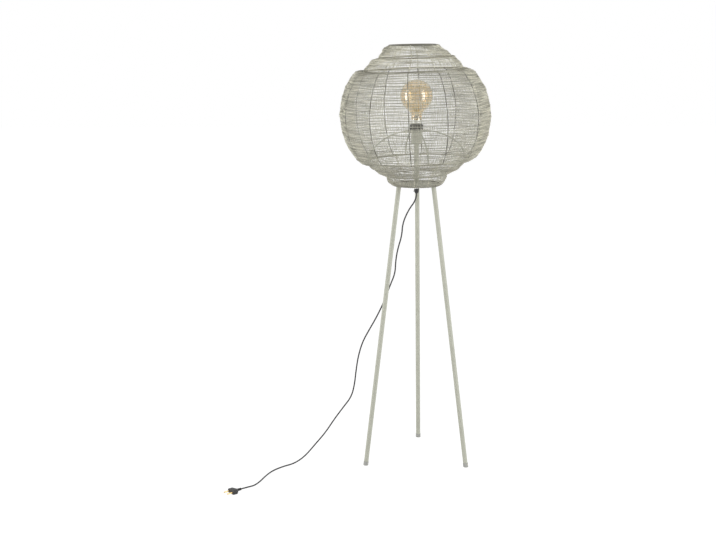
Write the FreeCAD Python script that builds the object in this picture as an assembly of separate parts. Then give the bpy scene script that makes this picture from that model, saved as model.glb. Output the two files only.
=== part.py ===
import FreeCAD, Part
import math
import os

from FreeCAD import Vector

# Tripod floor lamp with a wire-wound lantern shade. Millimetres, +Z up.
# The origin is on the floor, on the lamp's axis. +Y points at the rear leg.

# Fits
RUNNING_GAP = 0.3        # between bodies that turn or slide past each other
SEAT_GAP = 0.1           # between flat faces of pieces that can be lifted apart
WELD_GAP = 0.2           # between two wires that are welded end to side
THREAD_GAP = 0.05        # radial, between a thread's crest and the hole that takes it
HOLE_GAP = 0.25          # radial, between a bolt and a plain hole

# Tripod
PLATE_UNDER_Z = 904.0
PLATE_R = 70.5
PLATE_T = 3.0
PLATE_EDGE_ROUND = 0.8
LEG_D = 14.5
LEG_WALL = 1.2
LEG_CIRCLE_R = 63.0      # the legs' axes at the underside of the plate
FOOT_CIRCLE_R = 187.0    # the legs' axes at the floor
LEG_DEGREES = {"rear": 90.0, "front_left": 210.0, "front_right": 330.0}
FOOT_CAP_WALL = 0.8
FOOT_CAP_H = 13.0
FOOT_CAP_FLOOR = 5.0
FOOT_CAP_ROUND = 1.6
INSERT_LENGTH = 24.0
SCREW_D = 5.0
SCREW_GRIP = 12.0
SCREW_HEAD_D = 9.5
SCREW_HEAD_H = 2.6
SCREW_SOCKET_AF = 3.0
SCREW_SOCKET_DEPTH = 1.5
LEG_WASHER_D = 11.0
LEG_WASHER_T = 1.0

# Centre post and hollow threaded rod
POST_D = 15.0
POST_WALL = 1.5
ROD_D = 10.0
ROD_BORE_D = 7.2
PLATE_WASHER_D = 20.0
PLATE_WASHER_T = 1.5
NUT_AF = 17.0
PLATE_NUT_H = 5.5
CUP_NUT_H = 4.0
ROD_IN_GLAND = 6.0

# Cord gland under the plate
GLAND_DROP = 4.5         # bare thread between the nut and the gland
GLAND_D = 15.0
GLAND_BODY_H = 7.0
GLAND_NOSE_H = 7.0
GLAND_NOSE_D = 10.0
GLAND_SCREW_D = 3.0
GLAND_SCREW_HEAD_D = 5.0
GLAND_SCREW_HEAD_H = 2.0

# Lampholder
CUP_D = 34.0
CUP_WALL = 1.2
CUP_FLOOR = 1.5
CUP_H = 40.0
HOLDER_D = 30.4          # over the outer thread
HOLDER_BORE_D = 27.9
HOLDER_BASE_H = 21.0
HOLDER_BOSS_D = 18.0
HOLDER_BOSS_H = 11.0
HOLDER_ROD_DEPTH = 9.0
PEDESTAL_H = 4.0
HOLDER_ABOVE_SEAT = 22.0  # top of the holder above the carrier's seat
SHELL_WALL = 0.4
SHELL_SHORT = 3.0        # the screw shell ends this far under the holder's mouth
CONTACT_W = 5.0
CONTACT_T = 0.5
CONTACT_RISE = 2.2
CONTACT_LENGTH = 16.0
TERMINAL_SCREW_D = 3.0
TERMINAL_HEAD_D = 5.0
TERMINAL_HEAD_H = 2.0
TERMINAL_DEPTH = 6.0
TERMINAL_CIRCLE_R = 12.0

# Carrier and the two threaded rings over it
CARRIER_D = 41.0
CARRIER_T = 3.0
RING_NUT_D = 41.0
CLAMP_RING_H = 7.5
LOCK_RING_H = 8.0
LOCK_RING_LIFT = 2.0     # gap between the clamp ring and the lock ring
RING_NUT_ROUND = 1.2

# Globe bulb with a screw cap
BULB_D = 103.0
BULB_WALL = 1.0
BULB_NECK_D = 34.0
BULB_NECK_FILLET = 30.0
BULB_GLASS_H = 125.5
BULB_COLLAR_H = 13.0
BULB_COLLAR_FOOT_D = 29.0
BULB_COLLAR_WALL = 2.5
CAP_D = 26.0
CAP_WALL = 1.0
CAP_H = 23.0
CAP_THREAD_DEPTH = 0.8
CAP_PITCH = 3.6
CAP_THREADS = 5
INSULATOR_H = 4.0
INSULATOR_D = 10.0
TIP_D = 9.0
TIP_H = 2.0
STEM_D = 9.0
STEM_H = 60.0
STEM_HUB_D = 16.0
STEM_HUB_H = 3.0
FILAMENT_COUNT = 6
FILAMENT_D = 2.0
FILAMENT_H = 42.0
FILAMENT_LEAN = 8.0

# Shade frame: height of each tier, and ring radius, tilt and sideways shift of a hand-formed frame
BOTTOM_RING_GAP = 1.0    # between the plate's edge and the bottom ring's inner side
RING_WIRE_D = 4.0
RIB_WIRE_D = 3.0
ARM_WIRE_D = 4.4
RIB_COUNT = 12
RIB_TURN = -3.0
ARM_COUNT = 4
ARM_TURN = 15.0
ARM_KNEE_R = 58.0
SEAT_H = 168.0           # the carrier's seat over the bottom ring
COLLAR_H = 32.0
WAIST_H = 45.0
GLOBE_H = 280.0
SHOULDER_H = 40.0
CROWN_H = 37.0
WAIST_R = 92.0
WAIST_TILT = 1.8
GLOBE_BOTTOM_R = 156.0
GLOBE_BOTTOM_TILT = 1.7
GLOBE_TOP_R = 155.0
GLOBE_TOP_TILT = 1.4
GLOBE_TOP_SHIFT = -10.5
CROWN_R = 113.5
CROWN_TILT = 1.8
CROWN_SHIFT = -5.5
TOP_R = 72.5
TOP_TILT = 0.6
TOP_SHIFT = -12.5

# Shade profile between the rings
GLOBE_MAX_R = 234.0
GLOBE_SHOULDER_R = 190.0
GLOBE_TOP_SHOULDER = 12.0
GLOBE_BOTTOM_SHOULDER = 10.0
GLOBE_LEAVE_DEG = 6.0
COLLAR_BULGE = 6.0
WAIST_BULGE = 8.0
SHOULDER_BULGE = 4.4
CROWN_BULGE = 1.2

# Windings: each tier's wound wire is one thin wall that runs straight from rib to rib
WINDING_END = 9.0        # from the middle of a ring to the wall's edge
WINDING_WALL = 0.4       # gives the wall the weight of the wire that it stands for
WINDING_GAP = 0.3        # between a rib and the wall round it

# Cord and plug
CORD_D = 4.5
FLOOR_CORD_Z = 2.3       # the cord's centre where it lies on the floor
PLUG_X = -531.0
PLUG_Y = -338.0
PLUG_HEADING = 222.0
PLUG_LEAD = 24.0         # straight run of the cord into the plug
PLUG_LENGTH = 36.0
PLUG_W = 35.0
PLUG_T = 13.7
PLUG_FACE_DEPTH = 15.0
PLUG_NOSE_D = 9.5
PLUG_PIN_D = 4.0
PLUG_PIN_LENGTH = 19.0
PLUG_PIN_SPACING = 18.6
PLUG_PIN_ROOT_D = 3.0
PLUG_PIN_ROOT = 6.0
PLUG_PIN_ROUND = 1.2
ARC_SHARE = 0.45         # of the shorter run, taken by each bend of the cord

TINY = 1e-7
FAR = 5000.0

# Levels worked out from the sizes above
PLATE_TOP_Z = PLATE_UNDER_Z + PLATE_T
SHADE_BASE_Z = PLATE_TOP_Z
SEAT_Z = SHADE_BASE_Z + SEAT_H
CUP_BOTTOM_Z = SEAT_Z - CUP_H
CUP_FLOOR_Z = CUP_BOTTOM_Z + CUP_FLOOR
HOLDER_BASE_Z = CUP_FLOOR_Z + CUP_NUT_H
HOLDER_BODY_Z = HOLDER_BASE_Z + HOLDER_BASE_H
PEDESTAL_Z = HOLDER_BODY_Z + PEDESTAL_H
HOLDER_TOP_Z = SEAT_Z + HOLDER_ABOVE_SEAT
CARRIER_Z = SEAT_Z + SEAT_GAP
CLAMP_RING_Z = CARRIER_Z + CARRIER_T + SEAT_GAP
LOCK_RING_Z = CLAMP_RING_Z + CLAMP_RING_H + LOCK_RING_LIFT
TIP_Z = PEDESTAL_Z + CONTACT_T + CONTACT_RISE + SEAT_GAP
INSULATOR_Z = TIP_Z + TIP_H
CAP_Z = INSULATOR_Z + INSULATOR_H
BULB_COLLAR_Z = CAP_Z + CAP_H
GLASS_Z = BULB_COLLAR_Z + BULB_COLLAR_H
GLOBE_CENTRE_Z = GLASS_Z + BULB_GLASS_H - BULB_D / 2
PLATE_WASHER_Z = PLATE_UNDER_Z - PLATE_WASHER_T
PLATE_NUT_Z = PLATE_WASHER_Z - PLATE_NUT_H
GLAND_TOP_Z = PLATE_NUT_Z - GLAND_DROP
GLAND_BOTTOM_Z = GLAND_TOP_Z - GLAND_BODY_H - GLAND_NOSE_H
ROD_BOTTOM_Z = GLAND_TOP_Z - ROD_IN_GLAND
ROD_TOP_Z = HOLDER_BASE_Z + HOLDER_ROD_DEPTH
BOTTOM_RING_R = PLATE_R + BOTTOM_RING_GAP + RING_WIRE_D / 2

PLUG_ENTRY = Vector(PLUG_X, PLUG_Y, PLUG_T / 2)
PLUG_AHEAD = Vector(math.cos(math.radians(PLUG_HEADING)), math.sin(math.radians(PLUG_HEADING)), 0)

# The cord's route from the gland to the plug, chosen by hand
CORD_ROUTE = [
    (0.0, 0.0, GLAND_BOTTOM_Z),
    (0.0, 0.0, 859.0),
    (-26.0, -5.0, 824.0),
    (-44.0, -8.7, 782.0),
    (-46.5, -9.0, 742.0),
    (-60.0, -12.0, 699.0),
    (-66.5, -13.0, 659.0),
    (-68.0, -13.4, 621.0),
    (-85.0, -17.0, 580.0),
    (-103.0, -20.5, 531.0),
    (-126.0, -25.0, 482.0),
    (-152.0, -30.0, 437.0),
    (-174.0, -34.0, 397.0),
    (-188.0, -37.0, 349.0),
    (-195.5, -38.5, 300.0),
    (-200.5, -39.5, 255.0),
    (-211.0, -41.5, 214.0),
    (-239.0, -47.0, 178.0),
    (-268.0, -52.5, 139.0),
    (-297.0, -58.5, 95.0),
    (-331.0, -65.0, 56.0),
    (-362.0, -74.0, 20.0),
    (-394.0, -97.0, FLOOR_CORD_Z),
    (-430.0, -129.0, FLOOR_CORD_Z),
    (-459.0, -170.0, FLOOR_CORD_Z),
    (-474.0, -219.0, FLOOR_CORD_Z),
    (-483.0, -262.0, FLOOR_CORD_Z),
    (-496.0, -297.0, FLOOR_CORD_Z),
    tuple(PLUG_ENTRY - PLUG_AHEAD * PLUG_LEAD),
    tuple(PLUG_ENTRY),
]

os.makedirs("parts", exist_ok=True)
built = {}


def keep(node, shape):
    """Write one node as its own file."""
    shape.exportStep("parts/" + node + ".step")
    built[node] = shape


def keep_group(node, shapes):
    keep(node, Part.makeCompound(shapes))


# Plain turned pieces

def disc(diameter, z, height):
    return Part.makeCylinder(diameter / 2, height, Vector(0, 0, z))


def sleeve(outer_d, inner_d, z, height):
    return disc(outer_d, z, height).cut(disc(inner_d, z, height))


def turned(outline):
    """Solid of revolution about Z from a closed outline of (radius, z) points."""
    corners = [Vector(r, 0, z) for r, z in outline]
    face = Part.Face(Part.makePolygon(corners + corners[:1]))
    return face.revolve(Vector(0, 0, 0), Vector(0, 0, 1), 360)


def hexagon(across_flats, z, height):
    corner_r = across_flats / 2 / math.cos(math.radians(30))
    corners = []
    for step in range(7):
        angle = math.radians(60 * step)
        corners.append(Vector(corner_r * math.cos(angle), corner_r * math.sin(angle), z))
    return Part.Face(Part.makePolygon(corners)).extrude(Vector(0, 0, height))


def round_edges_at(shape, z, radius):
    """Round the circular edges that lie in the level z."""
    edges = []
    for edge in shape.Edges:
        box = edge.BoundBox
        if abs(box.ZMin - z) < TINY * 100 and abs(box.ZMax - z) < TINY * 100:
            edges.append(edge)
    return shape.makeFillet(radius, edges)


def spun(shape, degrees):
    copy = shape.copy()
    copy.rotate(Vector(0, 0, 0), Vector(0, 0, 1), degrees)
    return copy


# Wires bent from arcs

def unit(v):
    return v * (1 / v.Length)


def arc_from(start, heading, end):
    """Arc that leaves start along heading and reaches end: start, heading, side, bend, length."""
    chord = end - start
    ahead = chord.dot(heading)
    across = chord - heading * ahead
    bend = 2 * across.Length / chord.dot(chord)
    if bend < TINY:
        return (start, heading, Vector(0, 0, 0), 0.0, chord.Length)
    turn = 2 * math.atan2(across.Length, ahead)
    return (start, heading, unit(across), bend, turn / bend)


def on_arc(arc, distance):
    """Point and heading at a distance along an arc."""
    start, heading, side, bend, length = arc
    if bend == 0.0:
        return start + heading * distance, heading
    turn = bend * distance
    point = start + heading * (math.sin(turn) / bend) + side * ((1 - math.cos(turn)) / bend)
    return point, heading * math.cos(turn) + side * math.sin(turn)


def biarc(start, heading, end, end_heading):
    """Two tangent arcs between two points with given headings."""
    chord = end - start
    both = heading + end_heading
    a = 2 * heading.dot(end_heading) - 2
    b = -2 * chord.dot(both)
    c = chord.dot(chord)
    if abs(a) < TINY:
        reach = -c / b
    else:
        reach = (-b - math.sqrt(b * b - 4 * a * c)) / (2 * a)
    middle = (start + heading * reach + end - end_heading * reach) * 0.5
    first = arc_from(start, heading, middle)
    return [first, arc_from(middle, unit(on_arc(first, first[4])[1]), end)]


def chain(stations):
    """Arcs through a list of (point, heading)."""
    arcs = []
    for (start, heading), (end, end_heading) in zip(stations[:-1], stations[1:]):
        arcs += biarc(start, heading, end, end_heading)
    return arcs


def arc_edge(arc):
    start, heading, side, bend, length = arc
    end = on_arc(arc, length)[0]
    if bend == 0.0:
        return Part.LineSegment(start, end).toShape()
    return Part.Arc(start, on_arc(arc, length / 2)[0], end).toShape()


def straight(start, heading, length):
    return (start, heading, Vector(0, 0, 0), 0.0, length)


def tube(arcs, diameter):
    """Round wire along a chain of tangent arcs, with its volume checked against its length."""
    path = Part.Wire([arc_edge(arc) for arc in arcs])
    start, heading = arcs[0][0], arcs[0][1]
    section = Part.Wire(Part.makeCircle(diameter / 2, start, heading))
    solid = path.makePipeShell([section], True, False)
    expected = math.pi * (diameter / 2) ** 2 * path.Length
    if abs(solid.Volume - expected) > 0.01 * expected:
        print("tube volume is off:", round(solid.Volume, 1), "for", round(expected, 1))
    return solid


# Legs, feet and base plate

LEG_SLOPE = (FOOT_CIRCLE_R - LEG_CIRCLE_R) / PLATE_UNDER_Z
LEG_UP = unit(Vector(-LEG_SLOPE, 0, 1))
FOOT = Vector(FOOT_CIRCLE_R, 0, 0)
LEG_REACH = PLATE_UNDER_Z / LEG_UP.z
SCREW_CIRCLE_R = LEG_CIRCLE_R + LEG_SLOPE * SCREW_GRIP / 2
INSERT_D = LEG_D - 2 * LEG_WALL - 2 * THREAD_GAP


def slab(z, height):
    return Part.makeBox(FAR, FAR, height, Vector(-FAR / 2, -FAR / 2, z))


def along_leg(diameter, start, end):
    return Part.makeCylinder(diameter / 2, end - start, FOOT + LEG_UP * start, LEG_UP)


def leg_tube():
    over = LEG_REACH + LEG_D
    outside = along_leg(LEG_D, FOOT_CAP_FLOOR, over)
    bore = along_leg(LEG_D - 2 * LEG_WALL, FOOT_CAP_FLOOR, over)
    return outside.cut(bore).cut(slab(PLATE_UNDER_Z, FAR))


def foot_cap():
    outer_d = LEG_D + 2 * (THREAD_GAP + FOOT_CAP_WALL)
    body = along_leg(outer_d, -outer_d, FOOT_CAP_H).cut(slab(-FAR, FAR))
    lowest = [edge for edge in body.Edges if edge.BoundBox.ZMax < outer_d * LEG_SLOPE / 4]
    body = body.makeFillet(FOOT_CAP_ROUND, lowest)
    return body.cut(along_leg(LEG_D + 2 * THREAD_GAP, FOOT_CAP_FLOOR, FOOT_CAP_H + outer_d))


def screw_hole(gap, z, height):
    return Part.makeCylinder(SCREW_D / 2 + gap, height, Vector(SCREW_CIRCLE_R, 0, z))


def leg_insert():
    bottom = LEG_REACH - INSERT_LENGTH
    plug = along_leg(INSERT_D, bottom, LEG_REACH + LEG_D).cut(slab(PLATE_UNDER_Z, FAR))
    return plug.cut(screw_hole(THREAD_GAP, PLATE_UNDER_Z - SCREW_GRIP, SCREW_GRIP))


def leg_washer():
    centre = Vector(SCREW_CIRCLE_R, 0, PLATE_TOP_Z)
    ring = Part.makeCylinder(LEG_WASHER_D / 2, LEG_WASHER_T, centre)
    return ring.cut(screw_hole(HOLE_GAP, PLATE_TOP_Z, LEG_WASHER_T))


def leg_screw():
    head_z = PLATE_TOP_Z + LEG_WASHER_T
    shank = screw_hole(0, PLATE_UNDER_Z - SCREW_GRIP, head_z - PLATE_UNDER_Z + SCREW_GRIP)
    head = round_edges_at(disc(SCREW_HEAD_D, head_z, SCREW_HEAD_H), head_z + SCREW_HEAD_H, SCREW_HEAD_H / 2)
    socket = hexagon(SCREW_SOCKET_AF, head_z + SCREW_HEAD_H - SCREW_SOCKET_DEPTH, SCREW_SOCKET_DEPTH)
    head = head.cut(socket)
    head.translate(Vector(SCREW_CIRCLE_R, 0, 0))
    return shank.fuse(head).removeSplitter()


def base_plate():
    plate = disc(2 * PLATE_R, PLATE_UNDER_Z, PLATE_T)
    plate = round_edges_at(plate, PLATE_UNDER_Z, PLATE_EDGE_ROUND)
    plate = plate.cut(disc(ROD_D + 2 * HOLE_GAP, PLATE_UNDER_Z, PLATE_T))
    hole = screw_hole(HOLE_GAP, PLATE_UNDER_Z, PLATE_T)
    for angle in LEG_DEGREES.values():
        plate = plate.cut(spun(hole, angle))
    return plate


for side, angle in LEG_DEGREES.items():
    keep("leg_" + side, spun(leg_tube(), angle))
    keep("foot_cap_" + side, spun(foot_cap(), angle))
keep_group("leg_inserts", [spun(leg_insert(), angle) for angle in LEG_DEGREES.values()])
keep_group("leg_washers", [spun(leg_washer(), angle) for angle in LEG_DEGREES.values()])
keep_group("leg_screws", [spun(leg_screw(), angle) for angle in LEG_DEGREES.values()])
keep("base_plate", base_plate())


# Post, rod, nuts and gland

def nut(z, height):
    return hexagon(NUT_AF, z, height).cut(disc(ROD_D + 2 * THREAD_GAP, z, height))


def cord_gland():
    side_r = GLAND_D / 2
    nose_r = GLAND_NOSE_D / 2
    nose_z = GLAND_TOP_Z - GLAND_BODY_H
    body = turned([
        (0, GLAND_BOTTOM_Z),
        (nose_r, GLAND_BOTTOM_Z),
        (side_r, nose_z),
        (side_r, GLAND_TOP_Z),
        (0, GLAND_TOP_Z),
    ])
    body = round_edges_at(body, GLAND_TOP_Z, side_r - ROD_D / 2 - HOLE_GAP * 4)
    body = body.cut(disc(ROD_D + 2 * THREAD_GAP, ROD_BOTTOM_Z, ROD_IN_GLAND))
    body = body.cut(disc(CORD_D + 2 * RUNNING_GAP, GLAND_BOTTOM_Z, GLAND_TOP_Z - GLAND_BOTTOM_Z))
    return body.cut(gland_screw_bar(GLAND_SCREW_D + 2 * THREAD_GAP, GLAND_D))


GLAND_SCREW_Z = GLAND_TOP_Z - GLAND_BODY_H - GLAND_SCREW_D / 2 + THREAD_GAP


def gland_screw_bar(diameter, outer_r):
    """Round bar on -X from the cord's bore out to a radius."""
    inner_r = CORD_D / 2 + RUNNING_GAP
    return Part.makeCylinder(
        diameter / 2, outer_r - inner_r, Vector(-inner_r, 0, GLAND_SCREW_Z), Vector(-1, 0, 0))


def gland_screw():
    shank = gland_screw_bar(GLAND_SCREW_D, GLAND_D / 2)
    head = Part.makeCylinder(
        GLAND_SCREW_HEAD_D / 2, GLAND_SCREW_HEAD_H, Vector(-GLAND_D / 2, 0, GLAND_SCREW_Z), Vector(-1, 0, 0))
    return shank.fuse(head).removeSplitter()


keep("post_tube", sleeve(POST_D, POST_D - 2 * POST_WALL, PLATE_TOP_Z, CUP_BOTTOM_Z - PLATE_TOP_Z))
keep("threaded_rod", sleeve(ROD_D, ROD_BORE_D, ROD_BOTTOM_Z, ROD_TOP_Z - ROD_BOTTOM_Z))
keep("plate_washer", sleeve(PLATE_WASHER_D, ROD_D + 2 * HOLE_GAP, PLATE_WASHER_Z, PLATE_WASHER_T))
keep("plate_nut", nut(PLATE_NUT_Z, PLATE_NUT_H))
keep("cord_gland", cord_gland())
keep("gland_screw", gland_screw())


# Cup and lampholder

CUP_BORE_D = CUP_D - 2 * CUP_WALL
PEDESTAL_D = HOLDER_BORE_D - 2 * SHELL_WALL - 2 * HOLE_GAP


def socket_cup():
    cup = disc(CUP_D, CUP_BOTTOM_Z, CUP_H)
    cup = round_edges_at(cup, CUP_BOTTOM_Z, CUP_WALL)
    cup = cup.cut(disc(CUP_BORE_D, CUP_FLOOR_Z, CUP_H))
    return cup.cut(disc(ROD_D + 2 * HOLE_GAP, CUP_BOTTOM_Z, CUP_FLOOR))


TERMINAL_Z = HOLDER_BASE_Z + HOLDER_BOSS_H


def terminal(angle):
    place = Vector(TERMINAL_CIRCLE_R, 0, TERMINAL_Z)
    shank = Part.makeCylinder(TERMINAL_SCREW_D / 2, TERMINAL_DEPTH, place)
    head = Part.makeCylinder(TERMINAL_HEAD_D / 2, TERMINAL_HEAD_H, place - Vector(0, 0, TERMINAL_HEAD_H))
    return spun(shank.fuse(head).removeSplitter(), angle)


TERMINAL_ANGLES = [45.0, 225.0]


def holder_base():
    """Moulded base: a boss on the rod, a flange under the body and a pedestal for the contacts."""
    body = disc(HOLDER_BOSS_D, HOLDER_BASE_Z, HOLDER_BASE_H)
    body = body.fuse(disc(HOLDER_D, TERMINAL_Z, HOLDER_BASE_H - HOLDER_BOSS_H))
    body = body.fuse(disc(PEDESTAL_D, HOLDER_BODY_Z, PEDESTAL_H)).removeSplitter()
    body = body.cut(disc(ROD_D + 2 * THREAD_GAP, HOLDER_BASE_Z, HOLDER_ROD_DEPTH))
    body = body.cut(disc(CORD_D + 2 * RUNNING_GAP, ROD_TOP_Z, HOLDER_BODY_Z - ROD_TOP_Z))
    for angle in TERMINAL_ANGLES:
        place = Vector(TERMINAL_CIRCLE_R, 0, TERMINAL_Z)
        hole = Part.makeCylinder(TERMINAL_SCREW_D / 2 + THREAD_GAP, TERMINAL_DEPTH, place)
        body = body.cut(spun(hole, angle))
    return body


def centre_contact():
    """Springy strip: a foot on the pedestal and a tongue that rises under the bulb's tip."""
    half = CONTACT_LENGTH / 2
    top = PEDESTAL_Z + CONTACT_RISE
    outline = [
        (-half, PEDESTAL_Z),
        (-half / 2, PEDESTAL_Z),
        (-half / 4, top),
        (half / 2, top),
        (half / 2, top + CONTACT_T),
        (-half / 4 - CONTACT_T, top + CONTACT_T),
        (-half / 2 - CONTACT_T / 2, PEDESTAL_Z + CONTACT_T),
        (-half, PEDESTAL_Z + CONTACT_T),
    ]
    corners = [Vector(x, -CONTACT_W / 2, z) for x, z in outline]
    face = Part.Face(Part.makePolygon(corners + corners[:1]))
    return face.extrude(Vector(0, CONTACT_W, 0))


def threaded_ring(z, height):
    ring = disc(RING_NUT_D, z, height)
    ring = round_edges_at(ring, z, RING_NUT_ROUND)
    ring = round_edges_at(ring, z + height, RING_NUT_ROUND)
    return ring.cut(disc(HOLDER_D + 2 * RUNNING_GAP, z, height))


SHELL_OUTER_D = HOLDER_BORE_D - 2 * THREAD_GAP
SHELL_TOP_Z = HOLDER_TOP_Z - SHELL_SHORT

keep("socket_cup", socket_cup())
keep("cup_nut", nut(CUP_FLOOR_Z, CUP_NUT_H))
keep("lampholder_base", holder_base())
keep("lampholder_body", sleeve(HOLDER_D, HOLDER_BORE_D, HOLDER_BODY_Z, HOLDER_TOP_Z - HOLDER_BODY_Z))
keep("screw_shell", sleeve(
    SHELL_OUTER_D, SHELL_OUTER_D - 2 * SHELL_WALL, HOLDER_BODY_Z, SHELL_TOP_Z - HOLDER_BODY_Z))
keep("centre_contact", centre_contact())
keep_group("terminal_screws", [terminal(angle) for angle in TERMINAL_ANGLES])
keep("clamp_ring", threaded_ring(CLAMP_RING_Z, CLAMP_RING_H))
keep("lock_ring", threaded_ring(LOCK_RING_Z, LOCK_RING_H))
keep("inner_cord", disc(CORD_D, GLAND_BOTTOM_Z, HOLDER_BODY_Z - GLAND_BOTTOM_Z))


# Bulb

def globe_outline(wall):
    """Closed half outline of the globe and neck, drawn in by a wall thickness."""
    globe_r = BULB_D / 2 - wall
    neck_r = BULB_NECK_D / 2 - wall
    fillet_r = BULB_NECK_FILLET + wall
    reach = globe_r + fillet_r
    drop = math.sqrt(reach ** 2 - (neck_r + fillet_r) ** 2)
    fillet_z = GLOBE_CENTRE_Z - drop
    lean = math.atan2(drop, neck_r + fillet_r)
    join = Vector(globe_r * math.cos(lean), 0, GLOBE_CENTRE_Z - globe_r * math.sin(lean))
    top = Vector(0, 0, GLOBE_CENTRE_Z + globe_r)
    side = Vector(globe_r, 0, GLOBE_CENTRE_Z)
    waist = Vector(
        neck_r + fillet_r - fillet_r * math.cos(lean / 2), 0, fillet_z + fillet_r * math.sin(lean / 2))
    neck = Vector(neck_r, 0, fillet_z)
    foot = Vector(neck_r, 0, GLASS_Z)
    centre = Vector(0, 0, GLASS_Z)
    edges = [
        Part.Arc(top, side, join).toShape(),
        Part.Arc(join, waist, neck).toShape(),
        Part.LineSegment(neck, foot).toShape(),
        Part.LineSegment(foot, centre).toShape(),
        Part.LineSegment(centre, top).toShape(),
    ]
    face = Part.Face(Part.Wire(edges))
    return face.revolve(Vector(0, 0, 0), Vector(0, 0, 1), 360)


def bulb_collar():
    top_r = BULB_NECK_D / 2
    foot_r = BULB_COLLAR_FOOT_D / 2
    return turned([
        (foot_r - BULB_COLLAR_WALL, BULB_COLLAR_Z),
        (foot_r, BULB_COLLAR_Z),
        (top_r, GLASS_Z),
        (top_r - BULB_COLLAR_WALL, GLASS_Z),
    ])


def bulb_cap():
    """Screw shell with rounded thread crests, open at the top and closed at the bottom by its insulator."""
    crest_r = CAP_D / 2
    root_r = crest_r - CAP_THREAD_DEPTH
    outline = [(root_r - CAP_WALL, CAP_Z), (root_r, CAP_Z)]
    for thread in range(CAP_THREADS):
        z = CAP_Z + (thread + 0.5) * CAP_PITCH
        outline += [
            (root_r, z - CAP_PITCH / 3),
            (crest_r, z - CAP_PITCH / 8),
            (crest_r, z + CAP_PITCH / 8),
            (root_r, z + CAP_PITCH / 3),
        ]
    outline += [(root_r, BULB_COLLAR_Z), (root_r - CAP_WALL, BULB_COLLAR_Z)]
    return turned(outline)


def bulb_insulator():
    cap_r = CAP_D / 2 - CAP_THREAD_DEPTH
    return turned([
        (0, INSULATOR_Z),
        (INSULATOR_D / 2, INSULATOR_Z),
        (cap_r, CAP_Z),
        (0, CAP_Z),
    ])


def bulb_tip():
    tip = disc(TIP_D, TIP_Z, TIP_H)
    return round_edges_at(tip, TIP_Z, TIP_H / 2)


def bulb_stem():
    foot_r = BULB_NECK_D / 2 - BULB_COLLAR_WALL
    hub_z = GLASS_Z + STEM_H
    stem_r = STEM_D / 2
    hub_r = STEM_HUB_D / 2
    return turned([
        (0, GLASS_Z),
        (foot_r, GLASS_Z),
        (stem_r, GLASS_Z + STEM_HUB_D),
        (stem_r, hub_z - STEM_HUB_H),
        (hub_r, hub_z - STEM_HUB_H),
        (hub_r, hub_z),
        (0, hub_z),
    ])


def filament(index):
    angle = 360.0 * index / FILAMENT_COUNT
    base = Vector(STEM_HUB_D / 2 - FILAMENT_D, 0, GLASS_Z + STEM_H)
    rod = Part.makeCylinder(FILAMENT_D / 2, FILAMENT_H, base)
    rod.rotate(base, Vector(0, 1, 0), FILAMENT_LEAN)
    return spun(rod.cut(slab(-FAR + base.z, FAR)), angle)


keep("bulb_glass", globe_outline(0).cut(globe_outline(BULB_WALL)))
keep("bulb_collar", bulb_collar())
keep("bulb_cap", bulb_cap())
keep("bulb_insulator", bulb_insulator())
keep("bulb_tip", bulb_tip())
keep("bulb_stem", bulb_stem())
keep_group("bulb_filaments", [filament(index) for index in range(FILAMENT_COUNT)])


# Shade frame

WAIST_RING_H = COLLAR_H
GLOBE_BOTTOM_H = WAIST_RING_H + WAIST_H
GLOBE_TOP_H = GLOBE_BOTTOM_H + GLOBE_H
CROWN_RING_H = GLOBE_TOP_H + SHOULDER_H
TOP_RING_H = CROWN_RING_H + CROWN_H

# name: radius, height over the bottom ring, sideways shift, tilt in degrees
RINGS = {
    "bottom_ring": (BOTTOM_RING_R, 0.0, 0.0, 0.0),
    "waist_ring": (WAIST_R, WAIST_RING_H, 0.0, WAIST_TILT),
    "globe_bottom_ring": (GLOBE_BOTTOM_R, GLOBE_BOTTOM_H, 0.0, GLOBE_BOTTOM_TILT),
    "globe_top_ring": (GLOBE_TOP_R, GLOBE_TOP_H, GLOBE_TOP_SHIFT, GLOBE_TOP_TILT),
    "crown_ring": (CROWN_R, CROWN_RING_H, CROWN_SHIFT, CROWN_TILT),
    "top_ring": (TOP_R, TOP_RING_H, TOP_SHIFT, TOP_TILT),
}


def lean(point):
    """Move a point of the upright shade to where the hand-formed frame has it."""
    height = point.z - SHADE_BASE_Z
    levels = list(RINGS.values())
    below, above = levels[0], levels[1]
    for lower, upper in zip(levels[:-1], levels[1:]):
        if height >= lower[1]:
            below, above = lower, upper
    share = (height - below[1]) / (above[1] - below[1])
    shift = below[2] + share * (above[2] - below[2])
    tilt = below[3] + share * (above[3] - below[3])
    angle = math.radians(tilt)
    return Vector(point.x * math.cos(angle) + shift, point.y, point.z + point.x * math.sin(angle))


def lean_station(point, heading):
    """A leaned point with its leaned heading."""
    step = 0.01
    return lean(point), unit(lean(point + heading * step) - lean(point - heading * step))


def ring_solid(radius, height, shift, tilt):
    centre = Vector(shift, 0, SHADE_BASE_Z + height)
    ring = Part.makeTorus(radius, RING_WIRE_D / 2, centre, Vector(0, 0, 1))
    ring.rotate(centre, Vector(0, 1, 0), -tilt)
    return ring


for ring_name, ring_sizes in RINGS.items():
    keep(ring_name, ring_solid(*ring_sizes))


def heading_at(degrees):
    """Heading in the plane of the lamp's axis, counted up from straight outwards."""
    angle = math.radians(degrees)
    return Vector(math.cos(angle), 0, math.sin(angle))


def ring_point(name):
    radius, height, _, _ = RINGS[name]
    return Vector(radius, 0, SHADE_BASE_Z + height)


def bulged(upper, lower, bulge):
    """Stations of one round bulge between two rings, from the upper to the lower."""
    start = ring_point(upper)
    end = ring_point(lower)
    chord = end - start
    half_turn = math.degrees(2 * math.atan(2 * bulge / chord.Length))
    slope = math.degrees(math.atan2(chord.z, chord.x))
    return [(start, heading_at(slope + half_turn)), (end, heading_at(slope - half_turn))]


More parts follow.
